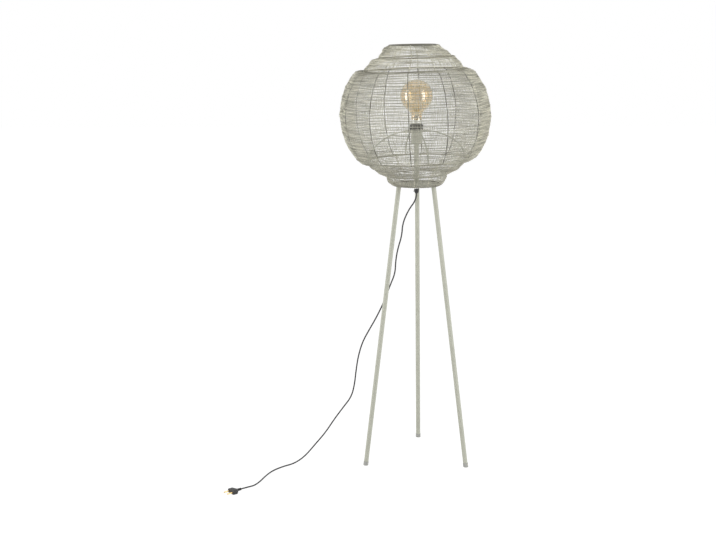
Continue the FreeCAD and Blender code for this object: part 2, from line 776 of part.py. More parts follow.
def globe_stations():
    """Shoulder, big round side and shoulder of the globe tier, from its top ring to its bottom ring."""
    top = ring_point("globe_top_ring")
    bottom = ring_point("globe_bottom_ring")
    upper = Vector(GLOBE_SHOULDER_R, 0, top.z - GLOBE_TOP_SHOULDER)
    lower = Vector(GLOBE_SHOULDER_R, 0, bottom.z + GLOBE_BOTTOM_SHOULDER)
    half_h = (upper.z - lower.z) / 2
    sagitta = GLOBE_MAX_R - GLOBE_SHOULDER_R
    end_turn = math.degrees(2 * math.atan(sagitta / half_h))
    side = Vector(GLOBE_MAX_R, 0, lower.z + half_h)
    return [
        (top, heading_at(-GLOBE_LEAVE_DEG)),
        (upper, heading_at(end_turn - 90)),
        (side, heading_at(-90)),
        (lower, heading_at(-90 - end_turn)),
        (bottom, heading_at(180 + GLOBE_LEAVE_DEG)),
    ]


TIERS = {
    "crown": bulged("top_ring", "crown_ring", CROWN_BULGE),
    "shoulder": bulged("crown_ring", "globe_top_ring", SHOULDER_BULGE),
    "globe": globe_stations(),
    "waist": bulged("globe_bottom_ring", "waist_ring", WAIST_BULGE),
    "collar": bulged("waist_ring", "bottom_ring", COLLAR_BULGE),
}


def along(arcs, distance):
    """Point and heading at a distance along a chain of arcs."""
    for arc in arcs[:-1]:
        if distance <= arc[4]:
            return on_arc(arc, distance)
        distance -= arc[4]
    return on_arc(arcs[-1], distance)


def profile_length(arcs):
    return sum(arc[4] for arc in arcs)


def turn_about_axis(v, degrees):
    angle = math.radians(degrees)
    cos = math.cos(angle)
    sin = math.sin(angle)
    return Vector(v.x * cos - v.y * sin, v.x * sin + v.y * cos, v.z)


RIB_INSET = RING_WIRE_D / 2 + WELD_GAP


def rib_station(arcs, angle, place):
    """Leaned point and heading of a rib at a place along its upright profile."""
    point, heading = along(arcs, place)
    return lean_station(turn_about_axis(point, angle), turn_about_axis(heading, angle))


def round_heading(arcs, angle, place):
    """Heading round the leaned frame at a place on a rib."""
    step = 0.5
    ahead = rib_station(arcs, angle + step, place)[0]
    return unit(ahead - rib_station(arcs, angle - step, place)[0])


def rib_inset(arcs, angle, ring_place, inward):
    """Upright length that puts the nearest edge of a rib's leaned end one weld gap off its ring."""
    centre, heading = rib_station(arcs, angle, ring_place)
    slant = abs(heading.dot(round_heading(arcs, angle, ring_place)))
    reach = (RIB_INSET + slant * RIB_WIRE_D / 2) / math.sqrt(1 - slant ** 2)
    end = rib_station(arcs, angle, ring_place + inward * reach)[0]
    return reach * reach / (end - centre).Length


def joins(arcs):
    """Places along a profile where one arc goes over into the next."""
    places = []
    run = 0.0
    for arc in arcs[:-1]:
        run += arc[4]
        places.append(run)
    return places


def rib(arcs, angle):
    """One rib through its two welded ends and the joins between its arcs."""
    length = profile_length(arcs)
    places = [rib_inset(arcs, angle, 0.0, 1)]
    places += joins(arcs)
    places.append(length - rib_inset(arcs, angle, length, -1))
    return tube(chain([rib_station(arcs, angle, place) for place in places]), RIB_WIRE_D)


WINDING_LIFT = (RIB_WIRE_D / 2 + WINDING_GAP) / math.cos(math.pi / RIB_COUNT)


def over_rib(arcs, angle, lift):
    """Arcs that follow a rib at a distance outside its centre line, between the edges of the winding."""
    places = [WINDING_END] + joins(arcs) + [profile_length(arcs) - WINDING_END]
    stations = []
    for place in places:
        point, heading = rib_station(arcs, angle, place)
        outwards = unit(heading.cross(round_heading(arcs, angle, place)))
        stations.append((point + outwards * lift, heading))
    return chain(stations)


def winding_section(arcs, angle):
    """Closed outline of the winding's wall over one rib."""
    inner = over_rib(arcs, angle, WINDING_LIFT)
    outer = over_rib(arcs, angle, WINDING_LIFT + WINDING_WALL)
    inner_end = on_arc(inner[-1], inner[-1][4])[0]
    outer_end = on_arc(outer[-1], outer[-1][4])[0]
    edges = [arc_edge(arc) for arc in outer]
    edges.append(Part.LineSegment(outer_end, inner_end).toShape())
    edges += [arc_edge(arc) for arc in reversed(inner)]
    edges.append(Part.LineSegment(inner[0][0], outer[0][0]).toShape())
    return Part.Wire(edges)


def winding(arcs, angles):
    """Thin wall round the ribs, straight from each rib to the next."""
    return Part.makeLoft([winding_section(arcs, angle) for angle in angles], True, True, True)


RIB_ANGLES = [RIB_TURN + 360 / RIB_COUNT * index for index in range(RIB_COUNT)]

for tier, tier_stations in TIERS.items():
    tier_arcs = chain(tier_stations)
    keep_group(tier + "_ribs", [rib(tier_arcs, angle) for angle in RIB_ANGLES])
    keep(tier + "_winding", winding(tier_arcs, RIB_ANGLES))


# Carrier of the shade

def carrier_arm(angle):
    """Wire that leaves the carrier level and bends down on to the globe's bottom ring."""
    start_r = CARRIER_D / 2 + WELD_GAP
    start_z = CARRIER_Z + CARRIER_T - ARM_WIRE_D / 2
    end = lean(turn_about_axis(ring_point("globe_bottom_ring"), angle))
    end_r = math.hypot(end.x, end.y)
    end_z = end.z + RING_WIRE_D / 2 + WELD_GAP
    reach = end_r - start_r
    drop = start_z - end_z
    flat_r = ((reach - ARM_KNEE_R) ** 2 + drop ** 2 - ARM_KNEE_R ** 2) / (2 * (drop - ARM_KNEE_R))
    knee = math.atan2(reach - ARM_KNEE_R, flat_r - drop)
    join = Vector(start_r + flat_r * math.sin(knee), 0, start_z - flat_r * (1 - math.cos(knee)))
    first = arc_from(Vector(start_r, 0, start_z), Vector(1, 0, 0), join)
    second = arc_from(join, heading_at(-math.degrees(knee)), Vector(end_r, 0, end_z))
    return spun(tube([first, second], ARM_WIRE_D), angle)


keep("carrier_ring", sleeve(CARRIER_D, HOLDER_D + 2 * RUNNING_GAP, CARRIER_Z, CARRIER_T))
for arm in range(ARM_COUNT):
    keep("carrier_arm_" + str(arm + 1), carrier_arm(ARM_TURN + 360 / ARM_COUNT * arm))


# Cord and plug

def rounded_route(corners):
    """Straight runs joined by arcs as large as the runs allow, and the arcs' radii."""
    points = [Vector(*corner) for corner in corners]
    arcs = []
    radii = []
    here = points[0]
    for before, corner, after in zip(points[:-2], points[1:-1], points[2:]):
        heading = unit(corner - before)
        next_heading = unit(after - corner)
        cut = ARC_SHARE * min((corner - before).Length, (after - corner).Length)
        half_turn = heading.getAngle(next_heading) / 2
        radii.append(cut / math.tan(half_turn))
        bend_start = corner - heading * cut
        bend_end = corner + next_heading * cut
        arcs.append(straight(here, heading, (bend_start - here).Length))
        arcs.append(arc_from(bend_start, heading, bend_end))
        here = bend_end
    arcs.append(straight(here, unit(points[-1] - here), (points[-1] - here).Length))
    return arcs, radii


def plug_placed(shape):
    """Turn a piece drawn along +X from the cord's end to the plug's heading and place."""
    shape.rotate(Vector(0, 0, 0), Vector(0, 0, 1), PLUG_HEADING)
    shape.translate(PLUG_ENTRY)
    return shape


def rounded_section(x, width, height, corner):
    """Rounded rectangle across the plug at a distance from the cord's end."""
    half_w = width / 2
    half_h = height / 2
    flat_w = half_w - corner
    flat_h = half_h - corner
    diagonal = corner * math.sqrt(0.5)
    edges = []
    for side_y, side_z in ((1, 1), (-1, 1), (-1, -1), (1, -1)):
        outer_side = Vector(x, side_y * half_w, side_z * flat_h)
        outer_top = Vector(x, side_y * flat_w, side_z * half_h)
        middle = Vector(x, side_y * (flat_w + diagonal), side_z * (flat_h + diagonal))
        ends = (outer_side, outer_top) if side_y == side_z else (outer_top, outer_side)
        edges.append(Part.Arc(ends[0], middle, ends[1]).toShape())
    corners = []
    for edge, following in zip(edges, edges[1:] + edges[:1]):
        corners.append(edge)
        corners.append(Part.LineSegment(edge.Vertexes[-1].Point, following.Vertexes[0].Point).toShape())
    return Part.Wire(corners)


def plug_body():
    face_start = PLUG_LENGTH - PLUG_FACE_DEPTH
    corner = PLUG_NOSE_D / 2 * 0.9
    nose = rounded_section(0, PLUG_NOSE_D, PLUG_NOSE_D, corner)
    back = rounded_section(face_start, PLUG_W, PLUG_T, corner)
    front = rounded_section(PLUG_LENGTH, PLUG_W, PLUG_T, corner)
    body = Part.makeLoft([nose, back], True, True).fuse(Part.makeLoft([back, front], True, True))
    body = body.removeSplitter()
    for side in (-1, 1):
        root = Vector(PLUG_LENGTH - PLUG_PIN_ROOT, side * PLUG_PIN_SPACING / 2, 0)
        body = body.cut(Part.makeCylinder(
            PLUG_PIN_ROOT_D / 2 + THREAD_GAP, PLUG_PIN_ROOT, root, Vector(1, 0, 0)))
    return plug_placed(body)


def plug_pin(side):
    y = side * PLUG_PIN_SPACING / 2
    along_x = Vector(1, 0, 0)
    pin = Part.makeCylinder(PLUG_PIN_D / 2, PLUG_PIN_LENGTH, Vector(PLUG_LENGTH, y, 0), along_x)
    tip = [edge for edge in pin.Edges if edge.BoundBox.XMin > PLUG_LENGTH + PLUG_PIN_LENGTH / 2]
    pin = pin.makeFillet(PLUG_PIN_ROUND, tip)
    root_x = PLUG_LENGTH - PLUG_PIN_ROOT
    root = Part.makeCylinder(PLUG_PIN_ROOT_D / 2, PLUG_PIN_ROOT, Vector(root_x, y, 0), along_x)
    return plug_placed(pin.fuse(root).removeSplitter())


cord_arcs, cord_radii = rounded_route(CORD_ROUTE)
print("cord length", round(profile_length(cord_arcs), 1), "mm")
print("cord radii", [round(radius) for radius in cord_radii], "least allowed", 5 * CORD_D)
keep("cord", tube(cord_arcs, CORD_D))
keep("plug_body", plug_body())
keep_group("plug_pins", [plug_pin(side) for side in (-1, 1)])

for node, shape in built.items():
    if not shape.isValid() or shape.Volume <= 0:
        print("not a sound solid:", node, shape.Volume)
print(len(built), "nodes")
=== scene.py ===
# %% [markdown]
# A floor lamp on three tube legs. Its shade is a lantern of five tiers, wound by hand with painted wire round
# upright ribs, and a bare amber globe bulb stands inside it over a painted cup.
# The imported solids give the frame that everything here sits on. They could be shown as they are, but their round
# faces are flat facets, so most pieces are drawn again as smooth surfaces in the same places.

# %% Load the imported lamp
import math

import bpy
import numpy as np
from mathutils import Matrix


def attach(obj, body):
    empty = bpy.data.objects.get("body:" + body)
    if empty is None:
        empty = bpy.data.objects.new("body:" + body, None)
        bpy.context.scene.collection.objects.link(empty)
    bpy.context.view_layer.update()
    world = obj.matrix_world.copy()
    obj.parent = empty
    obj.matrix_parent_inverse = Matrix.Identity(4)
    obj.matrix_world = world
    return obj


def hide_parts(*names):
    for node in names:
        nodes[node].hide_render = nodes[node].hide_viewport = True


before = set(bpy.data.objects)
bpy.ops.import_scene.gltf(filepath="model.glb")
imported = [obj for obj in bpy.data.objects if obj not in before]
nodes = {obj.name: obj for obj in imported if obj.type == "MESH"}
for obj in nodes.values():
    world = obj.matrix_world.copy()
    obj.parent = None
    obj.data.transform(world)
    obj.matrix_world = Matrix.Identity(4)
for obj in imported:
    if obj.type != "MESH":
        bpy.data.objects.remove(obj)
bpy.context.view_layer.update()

scene = bpy.context.scene

# %% [markdown]
# The camera comes first, because the cord's route is judged against its view. The picture was taken from a little
# over the top of the lamp, nearly four metres away, with the lamp to the right of the middle.
# A shifted lens could put the lamp off centre, but other views keep that shift. Turning the camera about its own
# upright axis does the same and leaves the lamp's axis upright in the picture.

# %% Camera
IMAGE_W = 716
LAMP_AXIS_PX = 416.5  # where the lamp's axis stands in the picture
FOCAL_PX = 1229.9
SENSOR_MM = 36.0
CAMERA_AWAY = 3.873  # metres from the lamp's axis
CAMERA_HEIGHT = 1.438
CAMERA_PITCH = 11.796  # degrees down
CAMERA_ROUND = 1.763  # degrees round the lamp, towards +X


def add_object(name, data):
    """Object with its data, linked into the scene."""
    made = bpy.data.objects.new(name, data)
    scene.collection.objects.link(made)
    return made


camera_data = bpy.data.cameras.new("camera")
camera_data.sensor_width = SENSOR_MM
camera_data.lens = FOCAL_PX * SENSOR_MM / IMAGE_W
camera = scene.camera = add_object("camera", camera_data)
swing_round = Matrix.Rotation(math.radians(CAMERA_ROUND), 4, "Z")
tilt_down = Matrix.Rotation(math.radians(90 - CAMERA_PITCH), 4, "X")
aside = Matrix.Rotation(math.atan((LAMP_AXIS_PX - IMAGE_W / 2) / FOCAL_PX), 4, "Y")
stand = Matrix.Translation((0, -CAMERA_AWAY, CAMERA_HEIGHT))
camera.matrix_world = swing_round @ stand @ tilt_down @ aside
scene.view_settings.view_transform = "Standard"
print("lens", round(camera_data.lens, 2), "mm")

# %% [markdown]
# Every surface here is a grid of points: rings of points along a path, or a profile turned round an axis. These few
# helpers make the grids as whole arrays, join the corners into faces and hand them to a mesh in one go.
# Sizes are in millimetres, as a maker reads them, and become metres only in the mesh.

# %% Helpers: directions, angles and the faces of a grid
MM = 0.001
UP = np.array([0.0, 0.0, 1.0])


def unit(vectors):
    """Each vector divided by its own length."""
    return vectors / np.linalg.norm(vectors, axis=-1, keepdims=True)


def even_turns(count):
    """Angles that share a full turn evenly, in radians."""
    return np.arange(count) * 2 * np.pi / count


def polar(radius, turn, height):
    """Points at a radius and an angle round the axis, and at a height."""
    return np.stack(np.broadcast_arrays(radius * np.cos(turn), radius * np.sin(turn), height), axis=-1)


def grid_faces(count, rows, columns, rows_closed=False):
    """Corner numbers of the quads of count grids, each with rows rings of columns points, closed round each ring."""
    row = np.arange(rows if rows_closed else rows - 1)
    column = np.arange(columns)
    start = np.arange(count)[:, None, None] * rows * columns
    here = start + row[None, :, None] * columns
    there = start + ((row + 1) % rows)[None, :, None] * columns
    left = column[None, None, :]
    right = (column + 1)[None, None, :] % columns
    return np.stack([here + left, here + right, there + right, there + left], axis=-1).reshape(-1, 4)

# %% Helpers: a piece from points and faces
def piece(name, points, face_sets, body, material, stands_for=(), sharp_deg=40.0):
    """Mesh object from points in millimetres and arrays of corner numbers, one array for each kind of face."""
    mesh = bpy.data.meshes.new(name)
    points = np.asarray(points, float).reshape(-1, 3) * MM
    corners = np.concatenate([faces.ravel() for faces in face_sets])
    sizes = np.concatenate([np.full(len(faces), faces.shape[1]) for faces in face_sets])
    mesh.vertices.add(len(points))
    mesh.vertices.foreach_set("co", points.ravel())
    mesh.loops.add(len(corners))
    mesh.loops.foreach_set("vertex_index", corners.astype(np.int32))
    mesh.polygons.add(len(sizes))
    mesh.polygons.foreach_set("loop_start", np.concatenate([[0], np.cumsum(sizes)[:-1]]).astype(np.int32))
    mesh.polygons.foreach_set("use_smooth", np.ones(len(sizes), bool))
    mesh.update(calc_edges=True)
    mesh.validate()
    mesh.set_sharp_from_angle(angle=math.radians(sharp_deg))
    mesh.materials.append(material)
    made = add_object(name, mesh)
    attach(made, body)
    if stands_for:
        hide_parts(*stands_for)
    print(name, len(mesh.polygons), "faces")
    return made

# %% Helpers: tubes along paths
def tube_rings(path, up, radius, sides):
    """Rings of points round paths: path + radius times (cosine across + sine up), square to the path.

    path ends in the axes (step, xyz), and up is one direction that isn't along it, or one for each step."""
    ahead = unit(np.gradient(path, axis=-2))
    across = unit(np.cross(up, ahead))
    over = np.cross(ahead, across)
    turn = even_turns(sides)[:, None]
    radius = np.broadcast_to(radius, path.shape[:-1])[..., None, None]
    return path[..., None, :] + radius * (np.cos(turn) * across[..., None, :] + np.sin(turn) * over[..., None, :])


def tube_faces(count, steps, sides):
    """Quads along count open tubes and one many-sided face on each end."""
    quads = grid_faces(count, steps, sides)
    start = np.arange(count)[:, None] * steps * sides
    end = np.arange(sides)
    return [quads, np.concatenate([start + end[::-1], start + (steps - 1) * sides + end])]

# %% Helpers: turned profiles
def turned(profile, segments, ripple=None):
    """Points of a profile of (radius, height) rows turned round the axis, one ring of points for each row.

    ripple, if given, is added to the radius of the first rows: an array of rows by segments."""
    profile = np.asarray(profile, float)
    radius = np.repeat(profile[:, :1], segments, axis=1)
    if ripple is not None:
        radius[:len(ripple)] += ripple
    return polar(radius, even_turns(segments), profile[:, 1:])


def loop_faces(rows, segments):
    """Quads of one grid that closes both ways."""
    return [grid_faces(1, rows, segments, rows_closed=True)]


def turned_piece(name, profile, segments, body, material, node, ripple=None):
    """Piece turned from a closed profile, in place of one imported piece."""
    piece(name, turned(profile, segments, ripple), loop_faces(len(profile), segments), body, material, [node])


def rounded(corners, steps=5):
    """Closed profile through (radius, height, rounding) corners, each a smooth bend.

    A bend is a quadratic curve: (1-t) squared of its start, 2t(1-t) of the corner and t squared of its end."""
    corners = np.asarray(corners, float)
    spots = corners[:, :2]
    before = np.roll(spots, 1, axis=0) - spots
    after = np.roll(spots, -1, axis=0) - spots
    reach = corners[:, 2:]
    start = spots + unit(before) * reach
    end = spots + unit(after) * reach
    share = np.linspace(0, 1, steps)[None, :, None]
    bends = (1 - share) ** 2 * start[:, None] + 2 * share * (1 - share) * spots[:, None] + share ** 2 * end[:, None]
    return bends.reshape(-1, 2)


def band(bore_r, outer_r, low, high, bore_edge, outer_edge):
    """Profile of a plain ring, with the rounding of its bore's edges and of its outer edges."""
    return rounded([
        (bore_r, low, bore_edge), (outer_r, low, outer_edge), (outer_r, high, outer_edge), (bore_r, high, bore_edge)])


def placed(points, origin, axis):
    """Points drawn along +Z, turned so that +Z runs along axis, and moved to origin."""
    axis = unit(np.asarray(axis, float))
    across = unit(np.cross([0.0, 1.0, 0.0], axis))
    over = np.cross(axis, across)
    return points @ np.stack([across, over, axis]) + np.asarray(origin, float)

# %% [markdown]
# Painted and moulded surfaces are never one flat colour. Seen close, paint has cloudy patches, tiny specks and an
# uneven skin, and plastic has a fine grain. Both could be painted by hand on an image, but noise in the piece's own
# space needs no unwrapping and looks the same from every side. One shared group makes the clouds, specks and skin.

# %% Shared finish: uneven film
def feed(tree, node, values):
    """Each named input gets its plain value, or a link where the value is another node's output."""
    for label, value in values.items():
        if isinstance(value, bpy.types.NodeSocket):
            tree.links.new(value, node.inputs[label])
        else:
            node.inputs[label].default_value = value


def add_node(tree, kind, values=None, **settings):
    """Shader node with its settings and with what feeds its inputs."""
    made = tree.nodes.new("ShaderNode" + kind)
    for label, value in settings.items():
        setattr(made, label, value)
    feed(tree, made, values or {})
    return made


def maths(tree, operation, *values):
    """Output of a node that works out one sum from its values, in their order."""
    return add_node(tree, "Math", dict(enumerate(values)), operation=operation).outputs[0]


def mixed(tree, share, first, second):
    """First colour, going over to the second as the share goes from nothing to one."""
    values = {"Factor": share, "A": first, "B": second}
    return add_node(tree, "Mix", values, data_type="RGBA").outputs["Result"]


def masked(tree, noise, low, high):
    """Noise stretched so that two of its levels become nothing and one."""
    values = {"Value": noise, "From Min": low, "From Max": high}
    return add_node(tree, "MapRange", values).outputs["Result"]


GROUP_OUTPUTS = {"Colour": "NodeSocketColor", "Roughness": "NodeSocketFloat", "Height": "NodeSocketFloat"}


def new_group(name, inputs):
    """Shader group with sockets for its inputs, a colour where the value has parts, and for the three outputs."""
    group = bpy.data.node_groups.new(name, "ShaderNodeTree")
    for label, value in inputs.items():
        kind = "NodeSocketColor" if isinstance(value, tuple) else "NodeSocketFloat"
        group.interface.new_socket(label, in_out="INPUT", socket_type=kind).default_value = value
    for label, kind in GROUP_OUTPUTS.items():
        group.interface.new_socket(label, in_out="OUTPUT", socket_type=kind)
    return group, group.nodes.new("NodeGroupInput").outputs, group.nodes.new("NodeGroupOutput")


def uneven_film():
    """Cloudy colour from two noises, specks from a fine noise, and a height that is the sum of both grains."""
    group, given, result = new_group("Uneven film", {
        "Colour": (0.5, 0.5, 0.45, 1), "Worn colour": (0.35, 0.34, 0.30, 1), "Cloud scale": 30.0, "Cloud amount": 0.4,
        "Grain scale": 900.0, "Speck amount": 0.3, "Roughness": 0.55})
    space = add_node(group, "TexCoord").outputs["Object"]
    clouds = add_node(group, "TexNoise", {
        "Vector": space, "Scale": given["Cloud scale"], "Detail": 5.0, "Roughness": 0.62}).outputs["Fac"]
    grain = add_node(group, "TexNoise", {
        "Vector": space, "Scale": given["Grain scale"], "Detail": 2.0, "Roughness": 0.5}).outputs["Fac"]
    patches = maths(group, "MULTIPLY", masked(group, clouds, 0.42, 0.72), given["Cloud amount"])
    specks = maths(group, "MULTIPLY", masked(group, grain, 0.60, 0.70), given["Speck amount"])
    worn = maths(group, "MAXIMUM", patches, specks)
    feed(group, result, {
        "Colour": mixed(group, worn, given["Colour"], given["Worn colour"]),
        "Roughness": maths(group, "MULTIPLY_ADD", clouds, 0.18, given["Roughness"]),
        "Height": maths(group, "MULTIPLY_ADD", clouds, 0.35, grain)})
    return group


FILM = uneven_film()

# %% Paints and plastics
FILM_LOOK = ("Cloud scale", "Cloud amount", "Grain scale", "Speck amount", "Roughness")
FILM_BUMP = 0.6


def finish(name, group, values, bump=None):
    """Material whose colour, roughness and bump come from a shared group; bump is a strength and a depth in mm."""
    material = bpy.data.materials.new(name)
    material.use_nodes = True
    tree = material.node_tree
    shader = tree.nodes["Principled BSDF"]
    shared = add_node(tree, "Group", values, node_tree=group).outputs
    feed(tree, shader, {"Base Color": shared["Colour"], "Roughness": shared["Roughness"]})
    if bump:
        strength, depth_mm = bump
        skin = add_node(tree, "Bump", {
            "Strength": strength, "Distance": depth_mm * MM, "Height": shared["Height"]})
        feed(tree, shader, {"Normal": skin.outputs["Normal"]})
    return material, shader


def film_finish(name, colour, worn, look, bump_mm):
    """Paint or plastic in two colours of uneven film, with a look in the order of FILM_LOOK."""
    values = {**dict(zip(FILM_LOOK, look)), "Colour": (*colour, 1), "Worn colour": (*worn, 1)}
    return finish(name, FILM, values, (FILM_BUMP, bump_mm))[0]


frame_paint = film_finish(
    "frame_paint", (0.485, 0.49, 0.412), (0.39, 0.39, 0.325), (22.0, 0.35, 700.0, 0.12, 0.42), 0.15)
wire_paint = film_finish(
    "wire_paint", (0.41, 0.395, 0.325), (0.29, 0.28, 0.225), (60.0, 0.6, 900.0, 0.35, 0.5), 0.12)
rib_paint = film_finish(
    "rib_paint", (0.21, 0.205, 0.165), (0.14, 0.135, 0.105), (45.0, 0.7, 900.0, 0.3, 0.5), 0.12)
ring_paint = film_finish(
    "ring_paint", (0.37, 0.355, 0.275), (0.26, 0.25, 0.19), (45.0, 0.7, 900.0, 0.3, 0.5), 0.12)
foot_plastic = film_finish(
    "foot_plastic", (0.40, 0.40, 0.375), (0.30, 0.30, 0.28), (90.0, 0.5, 1500.0, 0.2, 0.6), 0.08)
black_plastic = film_finish(
    "black_plastic", (0.012, 0.012, 0.012), (0.03, 0.03, 0.028), (120.0, 0.5, 2500.0, 0.3, 0.34), 0.05)
cord_pvc = film_finish(
    "cord_pvc", (0.010, 0.010, 0.010), (0.028, 0.027, 0.026), (50.0, 0.6, 1800.0, 0.3, 0.38), 0.05)
print("film finishes:", frame_paint.name, "to", cord_pvc.name)

# %% [markdown]
# Bare metal shows the way it was made: turned and drawn pieces have fine lines along one direction. A stretched
# noise makes such lines. The metal parts are small, so the lines matter only close up, but they keep the reflections
# from looking like plastic. The same lines, far coarser, streak the paint of the shade's thin wires, which was
# sprayed on unevenly and shows bare dark spots.

# %% Shared finish: drawn lines
def drawn_lines():
    """Noise squeezed along one direction, given out as a clear colour mix, a roughness and a height."""
    group, given, result = new_group("Drawn lines", {
        "Colour": (0.6, 0.6, 0.6, 1), "Dark colour": (0.4, 0.4, 0.4, 1), "Line scale": 3000.0, "Roughness": 0.2})
    space = add_node(group, "TexCoord").outputs["Object"]
    squeeze = add_node(group, "Mapping", {"Vector": space, "Scale": (0.05, 0.05, 1.0)})
    lines = add_node(group, "TexNoise", {
        "Vector": squeeze.outputs["Vector"], "Scale": given["Line scale"], "Detail": 3.0}).outputs["Fac"]
    feed(group, result, {
        "Colour": mixed(group, masked(group, lines, 0.32, 0.68), given["Colour"], given["Dark colour"]),
        "Roughness": maths(group, "MULTIPLY_ADD", lines, 0.25, given["Roughness"]),
        "Height": lines})
    return group


LINES = drawn_lines()

# %% Metals, and the paint of the thin wires
METAL_LINES = 3000.0  # lines in a metre
PAINT_LINES = 280.0
LINE_BUMP = (0.3, 0.02)


def lined_finish(name, colour, dark, roughness, metallic=1.0, line_scale=METAL_LINES):
    """Metal or paint with lines in its colour, roughness and bump."""
    values = {"Colour": (*colour, 1), "Dark colour": (*dark, 1), "Roughness": roughness, "Line scale": line_scale}
    material, shader = finish(name, LINES, values, LINE_BUMP)
    shader.inputs["Metallic"].default_value = metallic
    return material


steel = lined_finish("steel", (0.62, 0.62, 0.61), (0.42, 0.42, 0.42), 0.22)
brass = lined_finish("brass", (0.80, 0.60, 0.28), (0.58, 0.40, 0.16), 0.2)
nickel = lined_finish("nickel", (0.78, 0.77, 0.74), (0.60, 0.59, 0.56), 0.22)
lace_paint = lined_finish("lace_paint", (1.0, 0.98, 0.83), (0.44, 0.425, 0.34), 0.45, 0.0, PAINT_LINES)
twin_paint = lined_finish("twin_paint", (0.93, 0.91, 0.78), (0.26, 0.25, 0.20), 0.45, 0.0, PAINT_LINES)
print("lined finishes:", steel.name, "to", twin_paint.name)

# %% [markdown]
# The bulb's glass is amber all through. It could be faked with a see-through colour, but real glass bends and
# mirrors the softboxes, which gives the two upright highlights. The tint is light, because the eye looks through
# two walls. The highlights are brighter than bare glass gives, so the shader gets a hard clear coat of its own.
# A faint cloud in its roughness stands for dust and fingerprints.

# %% Glass finishes
GLASS_IOR = 1.45
COAT_IOR = 2.4
GLASS_CLOUDS = 18.0
GLASS_ROUGHNESS = -0.06  # the film adds up to 0.18, so only the dusty patches are rough


def glass_finish(name, colour, deep, coat=0.0):
    """Clear shader with a tint that clouds a little, and a roughness that rises where the glass is dusty."""
    material, shader = finish(name, FILM, {
        "Colour": (*colour, 1), "Worn colour": (*deep, 1), "Cloud scale": GLASS_CLOUDS, "Speck amount": 0.0,
        "Roughness": GLASS_ROUGHNESS})
    feed(material.node_tree, shader, {
        "Transmission Weight": 1.0, "IOR": GLASS_IOR, "Coat Weight": coat, "Coat IOR": COAT_IOR})
    return material


amber_glass = glass_finish("amber_glass", (0.87, 0.735, 0.475), (0.85, 0.67, 0.37), coat=1.0)
clear_glass = glass_finish("clear_glass", (0.95, 0.95, 0.94), (0.92, 0.92, 0.90))
filament_coat = film_finish(
    "filament_coat", (0.85, 0.62, 0.22), (0.72, 0.48, 0.14), (200.0, 0.4, 3000.0, 0.2, 0.5), 0.05)
print("bulb finishes:", amber_glass.name, clear_glass.name, filament_coat.name)

# %% [markdown]
# The cord leaves the gland straight down, swings out to the left in slack waves behind the left leg, touches the
# floor and runs on to a flat plug. A cord is one curve whose control points are the route's own points, so it stays
# as smooth as a real cord, and its thickness is a round bevel.

# %% Cord
CORD_D_MM = 4.5
PLUG_X = -531.0
PLUG_Y = -338.0
PLUG_T = 13.7
PLUG_HEADING = math.radians(222.0)
PLUG_LEAD = 24.0
plug_ahead = polar(1.0, PLUG_HEADING, 0.0)
plug_entry = np.array([PLUG_X, PLUG_Y, PLUG_T / 2])

# The route from the gland to the plug, with each bend's point listed
CORD_ROUTE = [
    (0, 0, 878.5), (0, 0, 859), (-26, -5, 824), (-44, -8.7, 782),
    (-46.5, -9, 742), (-60, -12, 699), (-66.5, -13, 659), (-68, -13.4, 621),
    (-85, -17, 580), (-103, -20.5, 531), (-126, -25, 482), (-152, -30, 437),
    (-174, -34, 397), (-188, -37, 349), (-195.5, -38.5, 300), (-200.5, -39.5, 255),
    (-211, -41.5, 214), (-239, -47, 178), (-268, -52.5, 139), (-297, -58.5, 95),
    (-331, -65, 56), (-362, -74, 20), (-394, -97, 2.3), (-430, -129, 2.3),
    (-459, -170, 2.3), (-474, -219, 2.3), (-483, -262, 2.3), (-496, -297, 2.3),
    plug_entry - plug_ahead * PLUG_LEAD, plug_entry,
]

cord_curve = bpy.data.curves.new("cord_line", "CURVE")
cord_curve.dimensions = "3D"
cord_curve.bevel_depth = CORD_D_MM / 2 * MM
cord_curve.bevel_resolution = 4
cord_curve.resolution_u = 8
cord_curve.use_fill_caps = True
line = cord_curve.splines.new("NURBS")
line.points.add(len(CORD_ROUTE) - 1)
line.points.foreach_set("co", np.array([(*np.multiply(spot, MM), 1.0) for spot in CORD_ROUTE]).ravel())
line.order_u = 3
line.use_endpoint_u = True
cord_curve.materials.append(cord_pvc)
cord = add_object("cord_line", cord_curve)
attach(cord, "base")
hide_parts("cord")
print("cord points:", len(CORD_ROUTE))

# %% [markdown]
# The plug is a flat two-pin one, moulded in one piece with its cord grip. Its cross-section is a rounded rectangle
# that grows from the round grip to the broad face. A box with bevels would look like a box. A superellipse, whose
# power goes from round to nearly square along the plug, gives the soft moulded shape, and shallow rings across the
# grip let it bend.

# %% Plug
PLUG_LENGTH = 36.0
PLUG_W = 35.0
PLUG_NOSE_R = 3.8  # of the grip, where the cord goes in
PLUG_GRIP = 11.0  # length of the ringed grip
PLUG_SWELL = 14.0  # length over which the grip grows to the broad face
PLUG_ROUND = 1.6  # rounding of the front edge
PLUG_SQUARE = 0.55  # how much of the roundness the broad face loses
GRIP_RINGS = 4
GRIP_RING_DEPTH = 0.45
PLUG_SIDES = 64


def smooth_step(x):
    """Zero to one with level ends: 3x squared minus 2x cubed, held between its ends."""
    x = np.clip(x, 0, 1)
    return x * x * (3 - 2 * x)


